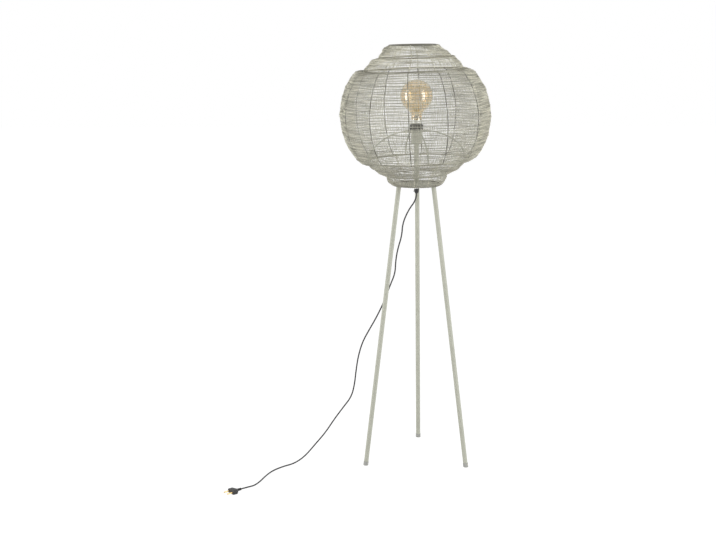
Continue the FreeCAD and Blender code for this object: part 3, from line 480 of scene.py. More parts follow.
front = PLUG_LENGTH - PLUG_ROUND
along_plug = np.concatenate([
    np.linspace(0, PLUG_GRIP, 40), np.linspace(PLUG_GRIP, front, 30)[1:],
    front + PLUG_ROUND * np.sin(np.linspace(0, np.pi / 2, 8))[1:]])
swell = smooth_step((along_plug - PLUG_GRIP * 0.8) / PLUG_SWELL)
front_round = np.sqrt(np.clip(1 - (np.clip(along_plug - front, 0, None) / PLUG_ROUND) ** 2, 0, 1))
grip_rings = GRIP_RING_DEPTH * np.cos(along_plug / PLUG_GRIP * 2 * np.pi * GRIP_RINGS) * (along_plug < PLUG_GRIP)
power = 1.0 - PLUG_SQUARE * swell
angle = even_turns(PLUG_SIDES)


def plug_reach(wave, width):
    """Half the width along the plug, times the wave's own sign and its size to the power of the superellipse."""
    half = PLUG_NOSE_R + swell * (width / 2 - PLUG_NOSE_R) + grip_rings - PLUG_ROUND * (1 - front_round)
    return (np.sign(wave) * np.abs(wave) ** power[:, None] * half[:, None])[..., None]


plug_side = polar(1.0, PLUG_HEADING + np.pi / 2, 0.0)
plug_points = (
    plug_entry + along_plug[:, None, None] * plug_ahead + plug_reach(np.cos(angle), PLUG_W) * plug_side
    + plug_reach(np.sin(angle), PLUG_T) * UP)
plug = piece("plug_moulding", plug_points, tube_faces(1, len(along_plug), PLUG_SIDES), "base", cord_pvc,
             ["plug_body"])

# %% Plug pins, and the cord's own record
PIN_LENGTH = 19.0
PIN_R = 2.0
PIN_SPACING = 18.6
PIN_SIDES = 24
pin_profile = [
    (PIN_R, 0.0), (PIN_R, PIN_LENGTH - 1.4), (PIN_R - 0.15, PIN_LENGTH - 0.7), (PIN_R - 0.6, PIN_LENGTH - 0.2),
    (PIN_R - 1.3, PIN_LENGTH)]
pin = turned(pin_profile, PIN_SIDES)
pin_feet = [plug_entry + plug_ahead * PLUG_LENGTH + plug_side * side * PIN_SPACING for side in (-0.5, 0.5)]
pin_points = np.stack([placed(pin, foot, plug_ahead) for foot in pin_feet])
plug_pins = piece("plug_pin_pair", pin_points, tube_faces(2, len(pin_profile), PIN_SIDES), "base", brass,
                  ["plug_pins"])

# %% [markdown]
# The three legs are straight tubes that lean in to the plate under the shade. Each is a turned profile laid along
# the leg's axis: the tube, cut level under the plate, and a cap over its foot. The cap stands on the floor, so any
# point of it that would fall under the floor is lifted on to it, which cuts the slanted cap flat.

# %% Legs and foot caps
LEG_D = 14.5
LEG_CIRCLE_R = 63.0
FOOT_CIRCLE_R = 187.0
PLATE_UNDER_Z = 904.0
PLATE_TOP_Z = 907.0
FOOT_CAP_D = 16.2
FOOT_CAP_H = 13.0
FOOT_CAP_FLOOR = 5.0
FOOT_UNDER = -2.0  # the cap is drawn this far under the floor, then cut flat
LEG_STEPS = 60
LEG_SIDES = 40
LEG_ANGLES = {"rear": 90.0, "front_left": 210.0, "front_right": 330.0}

for side, degrees in LEG_ANGLES.items():
    out = polar(1.0, math.radians(degrees), 0.0)
    foot = out * FOOT_CIRCLE_R
    head = out * LEG_CIRCLE_R + UP * PLATE_UNDER_Z
    reach = float(np.linalg.norm(head - foot))
    shaft = np.column_stack([np.full(LEG_STEPS, LEG_D / 2), np.linspace(FOOT_CAP_FLOOR, reach + LEG_D, LEG_STEPS)])
    tube = placed(turned(shaft, LEG_SIDES), foot, head - foot)
    tube[..., 2] = np.minimum(tube[..., 2], PLATE_UNDER_Z)
    piece("leg_tube_" + side, tube, tube_faces(1, LEG_STEPS, LEG_SIDES), "base", frame_paint,
          ["leg_" + side])
    hole_r = LEG_D / 2 + 0.06
    cap_profile = rounded([
        (0.3, FOOT_UNDER, 0.05), (FOOT_CAP_D / 2, FOOT_UNDER, 2.0), (FOOT_CAP_D / 2, FOOT_CAP_H, 0.5),
        (hole_r, FOOT_CAP_H, 0.1), (hole_r, FOOT_CAP_FLOOR + 1, 0.1), (0.3, FOOT_CAP_FLOOR, 0.05)])
    cap = placed(turned(cap_profile, LEG_SIDES), foot, head - foot)
    cap[..., 2] = np.maximum(cap[..., 2], 0.0)
    piece("foot_cup_" + side, cap, loop_faces(len(cap_profile), LEG_SIDES), "base", foot_plastic,
          ["foot_cap_" + side])

# %% [markdown]
# The shade's shape is a profile of six rings with a bulge between each pair. Hand-formed wire is never quite true,
# so every ring has a little tilt and shift, and the points between two rings take a share of both. All the shade's
# wires use this one surface, so they keep together.

# %% Shade profiles
SHADE_BASE_Z = 907.0
# Each ring's radius, height over the bottom ring, sideways shift and tilt in degrees
RINGS = {
    "bottom_ring": (73.5, 0.0, 0.0, 0.0),
    "waist_ring": (92.0, 32.0, 0.0, 1.8),
    "globe_bottom_ring": (156.0, 77.0, 0.0, 1.7),
    "globe_top_ring": (155.0, 357.0, -10.5, 1.4),
    "crown_ring": (113.5, 397.0, -5.5, 1.8),
    "top_ring": (72.5, 434.0, -12.5, 0.6),
}
RING_TABLE = np.array(list(RINGS.values()))
GLOBE_MAX_R = 234.0
GLOBE_SHOULDER_R = 190.0
GLOBE_TOP_SHOULDER = 12.0
GLOBE_BOTTOM_SHOULDER = 10.0
GLOBE_LEAVE = math.radians(6.0)
DOWN = -math.pi / 2


def heading(turn):
    """Unit direction in the profile's plane: cosine outwards and sine up."""
    return np.array([math.cos(turn), math.sin(turn)])


def arc(start, ahead, end, steps=40):
    """Arc that leaves start along ahead and ends at end.

    Its bend is twice the end's offset from the line ahead, over the chord squared."""
    chord = end - start
    across = chord - ahead * (chord @ ahead)
    offset = np.linalg.norm(across)
    turn = 2 * math.atan2(offset, chord @ ahead) * np.linspace(0, 1, steps)[:, None]
    radius = (chord @ chord) / (2 * offset)
    return start + radius * (np.sin(turn) * ahead + (1 - np.cos(turn)) * across / offset)


def shoulder(start, ahead, end, end_ahead):
    """Two arcs that meet smoothly: each end's tangent reaches as far as the other's, and they join halfway."""
    chord = end - start
    a = 2 * ahead @ end_ahead - 2
    b = -2 * chord @ (ahead + end_ahead)
    reach = (-b - math.sqrt(b * b - 4 * a * (chord @ chord))) / (2 * a)
    middle = (start + ahead * reach + end - end_ahead * reach) / 2
    first = arc(start, ahead, middle)
    second = arc(end, -end_ahead, middle)[::-1]
    return np.concatenate([first, second[1:]])


def ring_spot(name):
    """Radius and height of a ring in the untilted profile."""
    radius, height, _, _ = RINGS[name]
    return np.array([radius, SHADE_BASE_Z + height])


def bulge(upper, lower, depth):
    """One arc between two rings whose middle stands depth outside the straight line."""
    start = ring_spot(upper)
    chord = ring_spot(lower) - start
    half_turn = 2 * math.atan(2 * depth / np.linalg.norm(chord))
    slope = math.atan2(chord[1], chord[0])
    return arc(start, heading(slope + half_turn), ring_spot(lower), 80)


def globe_profile():
    """Shoulder, round side and shoulder of the globe, from its top ring to its bottom ring."""
    top = ring_spot("globe_top_ring")
    bottom = ring_spot("globe_bottom_ring")
    upper = np.array([GLOBE_SHOULDER_R, top[1] - GLOBE_TOP_SHOULDER])
    lower = np.array([GLOBE_SHOULDER_R, bottom[1] + GLOBE_BOTTOM_SHOULDER])
    turn = 2 * math.atan((GLOBE_MAX_R - GLOBE_SHOULDER_R) * 2 / (upper[1] - lower[1]))
    return np.concatenate([
        shoulder(top, heading(-GLOBE_LEAVE), upper, heading(DOWN + turn)),
        arc(upper, heading(DOWN + turn), lower, 160)[1:],
        shoulder(lower, heading(DOWN - turn), bottom, heading(math.pi + GLOBE_LEAVE))[1:]])


PROFILES = {
    "crown": bulge("top_ring", "crown_ring", 1.2),
    "shoulder": bulge("crown_ring", "globe_top_ring", 4.4),
    "globe": globe_profile(),
    "waist": bulge("globe_bottom_ring", "waist_ring", 8.0),
    "collar": bulge("waist_ring", "bottom_ring", 6.0),
}
print("profile points:", {tier: len(line) for tier, line in PROFILES.items()})

# %% Shade surface
RIB_COUNT = 12
RIB_TURN = math.radians(-3.0)
FLAT_FROM = 25.0  # length from a ring at which the wire runs straight between the ribs
STEP_DOWN = 0.5  # small steps in millimetres and radians, for directions on the surface
STEP_ROUND = 0.005


def lean(points):
    """Points of the hand-formed frame: each turned by the tilt and moved by the shift of its own height."""
    height = points[..., 2] - SHADE_BASE_Z
    shift = np.interp(height, RING_TABLE[:, 1], RING_TABLE[:, 2])
    tilt = np.radians(np.interp(height, RING_TABLE[:, 1], RING_TABLE[:, 3]))
    x = points[..., 0]
    return np.stack([x * np.cos(tilt) + shift, points[..., 1], points[..., 2] + x * np.sin(tilt)], axis=-1)


def run_along(line):
    """Length from a line's start to each of its points, summed over the straight parts."""
    return np.concatenate([[0], np.cumsum(np.linalg.norm(np.diff(line, axis=0), axis=1))])


RUNS = {tier: run_along(line) for tier, line in PROFILES.items()}
LENGTHS = {tier: float(run[-1]) for tier, run in RUNS.items()}


def ring_fade(tier, along, length):
    """Nothing at the tier's two rings, rising smoothly to one at a length from them."""
    return smooth_step(np.minimum(along, LENGTHS[tier] - along) / length)


def flatness(tier, along, turn):
    """Share of the radius that is left between two ribs, where wire pulled tight runs straight from rib to rib.

    It is the cosine of half a gap over the cosine of the angle from the gap's middle, and fades out at the rings."""
    gap = 2 * np.pi / RIB_COUNT
    from_middle = (turn - RIB_TURN) % gap - gap / 2
    chord = math.cos(gap / 2) / np.cos(from_middle)
    return 1 + (chord - 1) * ring_fade(tier, along, FLAT_FROM)


def shade_point(tier, along, turn):
    """Point of a tier at a length down its profile and an angle round the axis, in radians."""
    radius, height = (np.interp(along, RUNS[tier], part) for part in PROFILES[tier].T)
    return lean(polar(radius * flatness(tier, along, turn), turn, height))


def shade_frame(tier, along, turn):
    """Point with its directions round the axis and outwards, from small steps both ways and their cross product."""
    down = unit(shade_point(tier, along + STEP_DOWN, turn) - shade_point(tier, along - STEP_DOWN, turn))
    around = unit(shade_point(tier, along, turn + STEP_ROUND) - shade_point(tier, along, turn - STEP_ROUND))
    return shade_point(tier, along, turn), around, unit(np.cross(down, around))


print("lengths in mm:", {tier: round(length, 1) for tier, length in LENGTHS.items()})

# %% [markdown]
# Twelve ribs stand in each tier, welded to the rings above and below. A rib is a wire along the shade surface at
# one angle, so a tube round that line is all it takes. A slight wander to the side keeps them from looking ruled.

# %% Ribs
RIB_D = 3.0
RIB_STEPS = {"crown": 14, "shoulder": 14, "globe": 72, "waist": 20, "collar": 14}
RIB_INSET = 2.1
RIB_SIDES = 10
RIB_WANDER = -0.008
rib_turns = RIB_TURN + even_turns(RIB_COUNT)[:, None]

# A rib wanders sideways by a sine: nothing at its ends, and up to two millimetres in its middle
for tier, steps in RIB_STEPS.items():
    along = np.linspace(RIB_INSET, LENGTHS[tier] - RIB_INSET, steps)[None, :]
    share = along / LENGTHS[tier]
    turn = rib_turns + RIB_WANDER * np.sin(np.pi * share) * np.sin(7.3 * rib_turns + 4.0 * share)
    spot, _, out = shade_frame(tier, np.broadcast_to(along, turn.shape), turn)
    piece(tier + "_rib_wires", tube_rings(spot, out, RIB_D / 2, RIB_SIDES), tube_faces(RIB_COUNT, steps, RIB_SIDES),
          "shade", rib_paint if tier == "globe" else lace_paint, [tier + "_ribs"])

# %% [markdown]
# Wire is wound by hand round the ribs, from the top to the bottom of each tier. Pulled tight, it runs nearly straight
# from rib to rib. A spiral with an even pitch would look machine-made, so each turn wanders a little up and down,
# and here and there it stands off the ribs, which makes the shade's edge lumpy. The top two tiers face up into the
# light, so their wire gets the paler lace paint: painted light. Each winding is one long tube.

# %% Windings
WIRE_D = 1.5
WIRE_LIFT = (RIB_D + WIRE_D) / 2 + 0.1
TURNS = {"crown": 9, "shoulder": 9, "globe": 40, "waist": 14, "collar": 7}
WAVES = {"crown": 1.2, "shoulder": 1.2, "globe": 1.3, "waist": 1.4, "collar": 1.2}
WANDERS = ((0.09, 1.37, 1.3), (0.07, 2.63, 0.4), (0.05, 5.21, 0.0))  # share of the pitch, waves a round, start
WINDING_END = 4.5
STEPS_PER_GAP = 5
WIRE_SIDES = 6
# painted light: the crown and shoulder face up into the light, so their winding takes the paler lace paint
PAINTED_LIGHT_TIERS = ("crown", "shoulder")
LUMPS = {"crown": 3.6, "shoulder": 3.6, "globe": 2.3, "waist": 2.6, "collar": 2.2}
LUMP_WAVES = ((4.6, 3, 0.0), (7.9, -5, 1.7), (13.0, 2, 0.6))  # length down, waves round, start
LUMP_FROM = 14.0  # length from a ring at which the lumps have their full height


def winding_place(tier, rounds):
    """Length down the profile after so many rounds: an even spiral with a few slow waves that fade at both ends."""
    turns = TURNS[tier]
    pitch = (LENGTHS[tier] - 2 * WINDING_END) / turns
    wander = sum(share * np.sin(2 * np.pi * rounds * waves + start) for share, waves, start in WANDERS)
    ends = WAVES[tier] * smooth_step(rounds * 2) * smooth_step((turns - rounds) * 2)
    return WINDING_END + pitch * (rounds + wander * ends)


def slack(tier, along, turn):
    """How far a slack turn stands off the ribs: crossing waves added, kept above nothing and faded at the rings."""
    waves = sum(np.sin(along / length + number * turn + start) for length, number, start in LUMP_WAVES)
    return LUMPS[tier] * np.clip(waves / 2, 0, 1) * ring_fade(tier, along, LUMP_FROM)


for tier, turns in TURNS.items():
    steps = turns * RIB_COUNT * STEPS_PER_GAP + 1
    rounds = np.linspace(0, turns, steps)
    along, turn = winding_place(tier, rounds), 2 * np.pi * rounds
    spot, _, out = shade_frame(tier, along, turn)
    lift = WIRE_LIFT + slack(tier, along, turn)[:, None]
    # Crown and shoulder windings get the paler lace paint: painted light on the tiers that face up
    piece(tier + "_wound_wire", tube_rings(spot + out * lift, out, WIRE_D / 2, WIRE_SIDES)[None],
          tube_faces(1, steps, WIRE_SIDES), "shade", lace_paint if tier in PAINTED_LIGHT_TIERS else wire_paint,
          [tier + "_winding"], sharp_deg=180.0)

# %% [markdown]
# Seen from the front the shade is airy in its middle and dense at its sides, panel by panel. Wound wire alone looks
# the same from any side, so fine upright wires must lace the turns together, as in basket work. They go in pairs:
# one wire passes outside a turn where its twin passes inside, and they change sides before the next. Seen straight
# on, one hides the other, and seen aslant both show. Hand lacing is never even, so each pair stands a little off its
# place and sways, and the twin's paint is darker. There are many, so each wire has only three corners round it.

# %% Lacing wires
LACE_D = 0.6
LACE_SIDES = 3
LACE_SWING = 0.7  # radians that the sway goes on at each turn
LACE_INSET = 2.2
PAIRS = {"crown": 241, "shoulder": 185, "globe": 637, "waist": 243, "collar": 137}
LACE_SCATTER = 0.6  # share of the spacing by which a pair may stand off its even place
LACE_SWAY = 0.5  # share of the spacing by which it sways on its way down
STRANDS = {"first": (1.0, lace_paint), "twin": (-1.0, twin_paint)}
BOTH_ENDS = ((0, 0), (1, 1))  # one more point before and after the crossings
chance = np.random.default_rng(11)

for tier, laces in PAIRS.items():
    turns = TURNS[tier]
    row = np.arange(turns)[None, :]
    even = np.arange(laces)[:, None] + 0.5 + LACE_SCATTER * chance.uniform(-0.5, 0.5, (laces, 1))
    phase = chance.uniform(0, 2 * np.pi, (laces, 1))
    turn = (even + LACE_SWAY * np.sin(phase + LACE_SWING * row)) * 2 * np.pi / laces
    crossings = winding_place(tier, row + turn / (2 * np.pi))
    top = np.full((laces, 1), LACE_INSET)
    turn = np.pad(turn, BOTH_ENDS, mode="edge")
    along = np.concatenate([top, crossings, LENGTHS[tier] - top], axis=1)
    spot, around, out = shade_frame(tier, along, turn)
    side = 1.0 - 2.0 * ((np.arange(laces)[:, None] + row) % 2)
    wire_lift = WIRE_LIFT + slack(tier, along, turn)[:, 1:-1]
    for strand, (sign, paint) in STRANDS.items():
        lift = np.pad(wire_lift + sign * side * (WIRE_D + LACE_D) / 2, BOTH_ENDS)
        piece(tier + "_lacing_" + strand, tube_rings(spot + out * lift[..., None], around, LACE_D / 2, LACE_SIDES),
              tube_faces(laces, turns + 2, LACE_SIDES), "shade", paint, sharp_deg=180.0)

# %% [markdown]
# Six rings hold the tiers. They are thicker wire, welded into hoops, so each is a closed tube. Thin wire is lashed
# round the lowest one, which shows as upright ticks on the bottom rim. The lashing is a helix whose centre runs round
# the hoop.

# %% Rings and the lashing of the lowest
RING_WIRE_D = 4.0
LASH_D = 1.5
LASH_PITCH = 6.5
LASH_STEPS = 9
LASH_SIDES = 5
RING_STEPS = 160
# painted shade: the top and bottom rings take the dark rib paint instead of the ring paint
SHADED_END_RINGS = ("bottom_ring", "top_ring")
RING_SIDES = 12


def ring_line(name, turn):
    """Points of a ring's middle line at some angles, with the hoop's own tilt and shift."""
    radius, height, _, _ = RINGS[name]
    return lean(polar(radius, turn, SHADE_BASE_Z + height))


turn = np.arange(-1, RING_STEPS + 1) * 2 * np.pi / RING_STEPS
for name in RINGS:
    closed = ring_line(name, turn)
    hoop = tube_rings(closed, UP, RING_WIRE_D / 2, RING_SIDES)[1:-1]
    # The top and bottom hoops get the darker rib paint: painted shade at the shade's open ends
    piece(name + "_hoop", hoop, loop_faces(RING_STEPS, RING_SIDES), "shade",
          rib_paint if name in SHADED_END_RINGS else ring_paint, [name])

loops = round(2 * math.pi * RINGS["bottom_ring"][0] / LASH_PITCH)
steps = loops * LASH_STEPS
turn = np.arange(-1, steps + 1) * 2 * np.pi / steps
middle = ring_line("bottom_ring", turn)
out = polar(1.0, turn, 0.0)
swing = (loops * turn)[:, None]
path = middle + (RING_WIRE_D + LASH_D) / 2 * (np.cos(swing) * out + np.sin(swing) * UP)
lash = tube_rings(path, path - middle, LASH_D / 2, LASH_SIDES)[1:-1]
piece("bottom_ring_lashing", lash, loop_faces(steps, LASH_SIDES), "shade", rib_paint)

# %% [markdown]
# Four bent wires carry the shade. They leave a flat ring on the lampholder and bend down on to the lowest ring of
# the globe. Each is two arcs, a flat one and a tight knee, in the upright plane of its own angle.

# %% Carrier
CARRIER_Z = 1075.1
CARRIER_T = 3.0
CARRIER_D = 41.0
HOLDER_D = 30.4
ARM_D = 4.4
ARM_KNEE_R = 58.0
ARM_COUNT = 4
ARM_TURN = 15.0
ARM_SIDES = 12
ARM_STEPS = 30
ARM_WELD = 0.5  # how far an arm's end sinks into what it is welded to
RING_HOLE_R = HOLDER_D / 2 + 0.3
SEGMENTS = 64

carrier_top = CARRIER_Z + CARRIER_T
turned_piece("carrier_hub", band(RING_HOLE_R, CARRIER_D / 2, CARRIER_Z, carrier_top, 0.3, 0.5), SEGMENTS,
             "shade", frame_paint, "carrier_ring")

for number in range(ARM_COUNT):
    turn = math.radians(ARM_TURN + 360 / ARM_COUNT * number)
    end = ring_line("globe_bottom_ring", np.array([turn]))[0]
    start = np.array([CARRIER_D / 2 - ARM_WELD, carrier_top - ARM_D / 2])
    landing = np.array([math.hypot(end[0], end[1]), end[2] + RING_WIRE_D / 2 - ARM_WELD])
    reach, drop = landing[0] - start[0], start[1] - landing[1]
    flat_r = ((reach - ARM_KNEE_R) ** 2 + drop ** 2 - ARM_KNEE_R ** 2) / (2 * (drop - ARM_KNEE_R))
    knee = math.atan2(reach - ARM_KNEE_R, flat_r - drop)
    join = start + flat_r * np.array([math.sin(knee), math.cos(knee) - 1])
    flat = arc(start, np.array([1.0, 0.0]), join, ARM_STEPS)
    bend = arc(join, heading(-knee), landing, ARM_STEPS)
    plane = np.concatenate([flat, bend[1:]])
    path = polar(plane[:, 0], turn, plane[:, 1])
    up = polar(1.0, turn + np.pi / 2, 0.0)
    arm = "carrier_arm_" + str(number + 1)
    piece(arm + "_wire", tube_rings(path, up, ARM_D / 2, ARM_SIDES)[None], tube_faces(1, len(path), ARM_SIDES),
          "shade", frame_paint, [arm])

# %% [markdown]
# The post and the cup are plain painted tubes, so they are turned profiles with small rounded edges. The lampholder
# in the cup is black plastic with a coarse thread outside, and two knurled rings screw down on it and clamp the
# carrier. The thread is a ripple on the radius that climbs one pitch for each turn, and the knurl is a ripple that
# repeats round the ring.

# %% Post and cup
CUP_D = 34.0
CUP_WALL = 1.2
CUP_FLOOR = 1.5
CUP_HOLE_R = 5.3
CUP_BOTTOM_Z = 1035.0
SEAT_Z = 1075.0
POST_D = 15.0
POST_BORE_R = 6.0
THIN_SEGMENTS = 48

turned_piece("post", band(POST_BORE_R, POST_D / 2, PLATE_TOP_Z, CUP_BOTTOM_Z, 0.2, 0.3), THIN_SEGMENTS, "base",
             frame_paint, "post_tube")
cup_bore = CUP_D / 2 - CUP_WALL
cup_inside = CUP_BOTTOM_Z + CUP_FLOOR
cup_profile = rounded([
    (CUP_HOLE_R, CUP_BOTTOM_Z, 0.2), (CUP_D / 2, CUP_BOTTOM_Z, 2.2), (CUP_D / 2, SEAT_Z, 0.4),
    (cup_bore, SEAT_Z, 0.4), (cup_bore, cup_inside, 0.6), (CUP_HOLE_R, cup_inside, 0.2)])
turned_piece("cup", cup_profile, SEGMENTS, "base", frame_paint, "socket_cup")

# %% Threaded lampholder
HOLDER_BODY_Z = 1061.5
HOLDER_TOP_Z = 1097.0
HOLDER_BORE_R = 13.95
HOLDER_ROWS = 130
HOLDER_SEGMENTS = 72
THREAD_PITCH = 2.2
THREAD_DEPTH = 0.5
THREAD_FADE = 2.0  # length over which a thread runs out


def threaded(low, high, outer_r, bore_r, pitch, rows, segments, top_fade=THREAD_FADE):
    """Profile of a sleeve, with the wave of a thread round it and the wave's fade at both ends.

    The wave goes from 0 to 1: half plus half the cosine of height over pitch less the share of a turn."""
    levels = np.linspace(low, high, rows)
    outer = np.column_stack([np.full(rows, outer_r), levels])
    wave = 0.5 + 0.5 * np.cos(2 * np.pi * (levels[:, None] / pitch - np.arange(segments) / segments))
    fade = smooth_step((levels - low) / THREAD_FADE) * smooth_step((high - levels) / top_fade)
    return np.concatenate([outer, [(bore_r, high), (bore_r, low)]]), wave, fade[:, None]


profile, wave, fade = threaded(
    HOLDER_BODY_Z, HOLDER_TOP_Z, HOLDER_D / 2, HOLDER_BORE_R, THREAD_PITCH, HOLDER_ROWS, HOLDER_SEGMENTS)
turned_piece("holder_thread", profile, HOLDER_SEGMENTS, "base", black_plastic, "lampholder_body",
             -THREAD_DEPTH * (1 - wave) * fade)

# %% Knurled rings
GROOVES = 40
GROOVE_DEPTH = 0.9
STEPS_PER_GROOVE = 6
RING_LEVELS = {"clamp_ring": (1078.2, 1085.7), "lock_ring": (1087.7, 1095.7)}

# Upright grooves cut the outside: the radius dips by a cosine of the angle, and less towards the bore
segments = GROOVES * STEPS_PER_GROOVE
groove = 0.5 - 0.5 * np.cos(GROOVES * even_turns(segments))
for name, (low, high) in RING_LEVELS.items():
    profile = band(RING_HOLE_R, CARRIER_D / 2, low, high, 0.3, 1.2)
    depth = GROOVE_DEPTH * smooth_step((profile[:, :1] - RING_HOLE_R - 2) / 2.5)
    turned_piece(name + "_knurled", profile, segments, name, black_plastic, name, -depth * groove)

# %% [markdown]
# The gland under the plate is a small black turned piece that narrows towards the cord. Its profile has a rounded
# shoulder and a rounded nose.

# %% Gland
GLAND_TOP_Z = 892.5
GLAND_BOTTOM_Z = 878.5
GLAND_R = 7.5
GLAND_NOSE_R = 5.0
GLAND_CORD_R = 2.6
GLAND_ROD_R = 5.1
gland_profile = rounded([
    (GLAND_CORD_R, GLAND_BOTTOM_Z, 0.2), (GLAND_NOSE_R, GLAND_BOTTOM_Z, 0.8), (GLAND_R, GLAND_TOP_Z - 7.0, 1.5),
    (GLAND_R, GLAND_TOP_Z, 1.4), (GLAND_ROD_R, GLAND_TOP_Z, 0.3), (GLAND_ROD_R, GLAND_TOP_Z - 6.0, 0.3),
    (GLAND_CORD_R, GLAND_TOP_Z - 6.2, 0.3)])
turned_piece("gland_cone", gland_profile, THIN_SEGMENTS, "base", black_plastic, "cord_gland")

# %% [markdown]
# The bulb is a globe with a short neck. Its glass is a shell: the outline runs up the outside, over the top and
# back down the inside, so the wall has a real thickness and light bends at both faces. Inside stand a glass stem and
# six coated filaments. The metal cap's thread is a ripple that climbs as the lampholder's does.

# %% Bulb glass
BULB_R = 51.5
BULB_WALL = 1.0
NECK_R = 17.0
NECK_FILLET = 30.0
GLASS_Z = 1110.3
GLOBE_Z = 1184.3
BULB_SEGMENTS = 96


def globe_outline(wall):
    """Outline from the neck's foot to the top: a straight neck, a hollow arc and a ball, drawn in by the wall."""
    ball, neck, hollow = BULB_R - wall, NECK_R - wall, NECK_FILLET + wall
    drop = math.sqrt((ball + hollow) ** 2 - (neck + hollow) ** 2)
    tilt = math.atan2(drop, neck + hollow)
    bend = np.linspace(0, tilt, 24)
    hollow_arc = np.column_stack([neck + hollow - hollow * np.cos(bend), GLOBE_Z - drop + hollow * np.sin(bend)])
    sweep = np.linspace(-tilt, np.pi / 2 - 0.002, 60)[1:]
    ball_arc = np.column_stack([ball * np.cos(sweep), GLOBE_Z + ball * np.sin(sweep)])
    return np.concatenate([[(neck, GLASS_Z)], hollow_arc, ball_arc])


glass_outline = np.concatenate([globe_outline(0.0), globe_outline(BULB_WALL)[::-1]])
turned_piece("bulb_globe", glass_outline, BULB_SEGMENTS, "bulb", amber_glass, "bulb_glass")

# %% Bulb collar and cap
COLLAR_Z = 1097.3
CAP_Z = 1074.3
CAP_R = 13.0
CAP_BORE_R = 11.2
CAP_ROWS = 70
CAP_PITCH = 3.629
CAP_THREAD_DEPTH = 0.8
CAP_FADE_TOP = 3.0

collar_profile = rounded([
    (12.0, COLLAR_Z, 0.2), (14.5, COLLAR_Z, 0.6), (16.2, COLLAR_Z + 4.0, 1.2), (NECK_R, GLASS_Z, 0.3),
    (14.5, GLASS_Z, 0.2)])
turned_piece("bulb_skirt", collar_profile, SEGMENTS, "bulb", nickel, "bulb_collar")

profile, wave, fade = threaded(
    CAP_Z, COLLAR_Z, CAP_R, CAP_BORE_R, CAP_PITCH, CAP_ROWS, SEGMENTS, CAP_FADE_TOP)
turned_piece("bulb_thread", profile, SEGMENTS, "bulb", nickel, "bulb_cap",
             CAP_THREAD_DEPTH * (wave * fade - 1))

# %% Bulb stem and filaments
STEM_TOP_Z = GLASS_Z + 60.0
FILAMENTS = 6
FILAMENT_H = 41.5
FILAMENT_FOOT_R = 6.0  # circle that the filaments stand on
FILAMENT_LEAN = math.radians(8.0)
FILAMENT_R = 1.0
FILAMENT_WIRE_R = 0.55  # of the bare wire at both ends
FILAMENT_BARE = 3.0
FILAMENT_STEPS = 12
FILAMENT_SIDES = 10

stem_profile = rounded([
    (0.2, GLASS_Z, 0.05), (14.4, GLASS_Z, 0.4), (5.0, GLASS_Z + 14.0, 3.0), (4.5, STEM_TOP_Z - 4.0, 1.0),
    (7.9, STEM_TOP_Z - 2.4, 0.6), (7.9, STEM_TOP_Z, 0.6), (0.2, STEM_TOP_Z, 0.05)])
turned_piece("bulb_stem_glass", stem_profile, THIN_SEGMENTS, "bulb", clear_glass, "bulb_stem")

turn = even_turns(FILAMENTS)[:, None]
rise = np.linspace(0, FILAMENT_H, FILAMENT_STEPS)
path = polar(FILAMENT_FOOT_R + rise * math.tan(FILAMENT_LEAN), turn, STEM_TOP_Z + rise)
up = polar(1.0, turn + np.pi / 2, 0.0)
bare = (rise < FILAMENT_BARE) | (rise > FILAMENT_H - FILAMENT_BARE)
thick = np.where(bare, FILAMENT_WIRE_R, FILAMENT_R)
piece("bulb_filament_rods", tube_rings(path, up, thick, FILAMENT_SIDES),
      tube_faces(FILAMENTS, FILAMENT_STEPS, FILAMENT_SIDES), "bulb", filament_coat, ["bulb_filaments"])

# %% [markdown]
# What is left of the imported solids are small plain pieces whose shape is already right: the plate, screws, washers,
# nuts and contacts. They keep their shape and take the finishes made above.

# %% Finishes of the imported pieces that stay
STAYING = [
    (frame_paint, ["base_plate"]),
    (steel, ["leg_inserts", "leg_screws", "leg_washers", "threaded_rod", "plate_washer", "plate_nut", "gland_screw",
             "cup_nut"]),
    (black_plastic, ["lampholder_base", "bulb_insulator"]),
    (brass, ["screw_shell", "centre_contact", "terminal_screws"]),
    (cord_pvc, ["inner_cord"]),
    (nickel, ["bulb_tip"]),
]
for material, names in STAYING:
    for name in names:
        nodes[name].data.materials.clear()
        nodes[name].data.materials.append(material)
    print(material.name, "on", len(names), "packed pieces")

# %% [markdown]
# The picture was lit by two tall softboxes, one on each side of the camera, in front of a white sweep. Two area
# lamps stand where the bulb's two highlights say they stood. The sweep and floor are white to the camera and in
# reflections, and a share of plain white paint under them keeps a faint shadow.

# %% Softboxes
SOFTBOXES = {"softbox_left": (-76.0, 0.85), "softbox_right": (53.0, 0.9)}  # degrees from the camera's side, width
SOFTBOX_AWAY = 2.4
SOFTBOX_H = 2.9
SOFTBOX_Z = 1.5
SOFTBOX_WATTS = 43.5

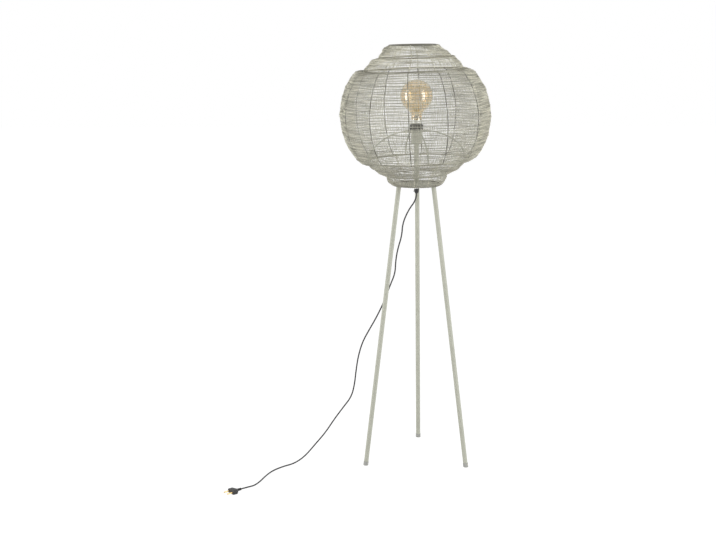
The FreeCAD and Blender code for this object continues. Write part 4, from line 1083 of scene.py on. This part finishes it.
for name, (degrees, width) in SOFTBOXES.items():
    light = bpy.data.lights.new(name, "AREA")
    light.shape = "RECTANGLE"
    light.size = width
    light.size_y = SOFTBOX_H
    light.energy = SOFTBOX_WATTS
    lamp = add_object(name, light)
    face_in = Matrix.Rotation(math.radians(degrees), 4, "Z") @ Matrix.Translation((0, -SOFTBOX_AWAY, SOFTBOX_Z))
    lamp.matrix_world = face_in @ Matrix.Rotation(math.radians(90), 4, "X")
    print(name, width, "m wide,", degrees, "degrees round")

# %% White sweep
SKY_STRENGTH = 0.40
WHITE = (1, 1, 1, 1)


def white_seen(tree):
    """One for rays that see the white sweep: straight from the camera, in gloss or through glass."""
    rays = add_node(tree, "LightPath").outputs
    seen = rays["Is Camera Ray"]
    for ray in ("Is Glossy Ray", "Is Transmission Ray"):
        seen = maths(tree, "MAXIMUM", seen, rays[ray])
    return seen


world = bpy.data.worlds.new("white_sweep")
scene.world = world
world.use_nodes = True
sky = world.node_tree
strength = add_node(
    sky, "MapRange", {"Value": white_seen(sky), "To Min": SKY_STRENGTH, "To Max": 1.0}).outputs["Result"]
feed(sky, sky.nodes["Background"], {"Color": WHITE, "Strength": strength})
print("world:", world.name)

# %% Floor
FLOOR_HALF = 12.0
FLOOR_CORNERS = ((-1, -1), (1, -1), (1, 1), (-1, 1))
FLOOR_PAINT = (0.9, 0.9, 0.9, 1)
WHITE_SHARE = 0.80
WHITE_GLOW = 1.18
floor_mesh = bpy.data.meshes.new("floor")
floor_mesh.from_pydata([(x * FLOOR_HALF, y * FLOOR_HALF, 0) for x, y in FLOOR_CORNERS], [], [(0, 1, 2, 3)])
floor = add_object("floor", floor_mesh)
floor_white = bpy.data.materials.new("floor_white")
floor_white.use_nodes = True
tree = floor_white.node_tree
tree.nodes.remove(tree.nodes["Principled BSDF"])
paint = add_node(tree, "BsdfDiffuse", {"Color": FLOOR_PAINT}).outputs[0]
glow = add_node(tree, "Emission", {"Color": WHITE, "Strength": WHITE_GLOW}).outputs[0]
share = maths(tree, "MULTIPLY", white_seen(tree), WHITE_SHARE)
mix = add_node(tree, "MixShader", {"Fac": share, 1: paint, 2: glow}).outputs[0]
feed(tree, tree.nodes["Material Output"], {"Surface": mix})
floor_mesh.materials.append(floor_white)
print("floor", 2 * FLOOR_HALF, "m wide")

# %% [markdown]
# The drawn lamp has to keep to the size of the imported one, since other parts are fitted to that.

# %% Update the scene
bpy.context.view_layer.update()
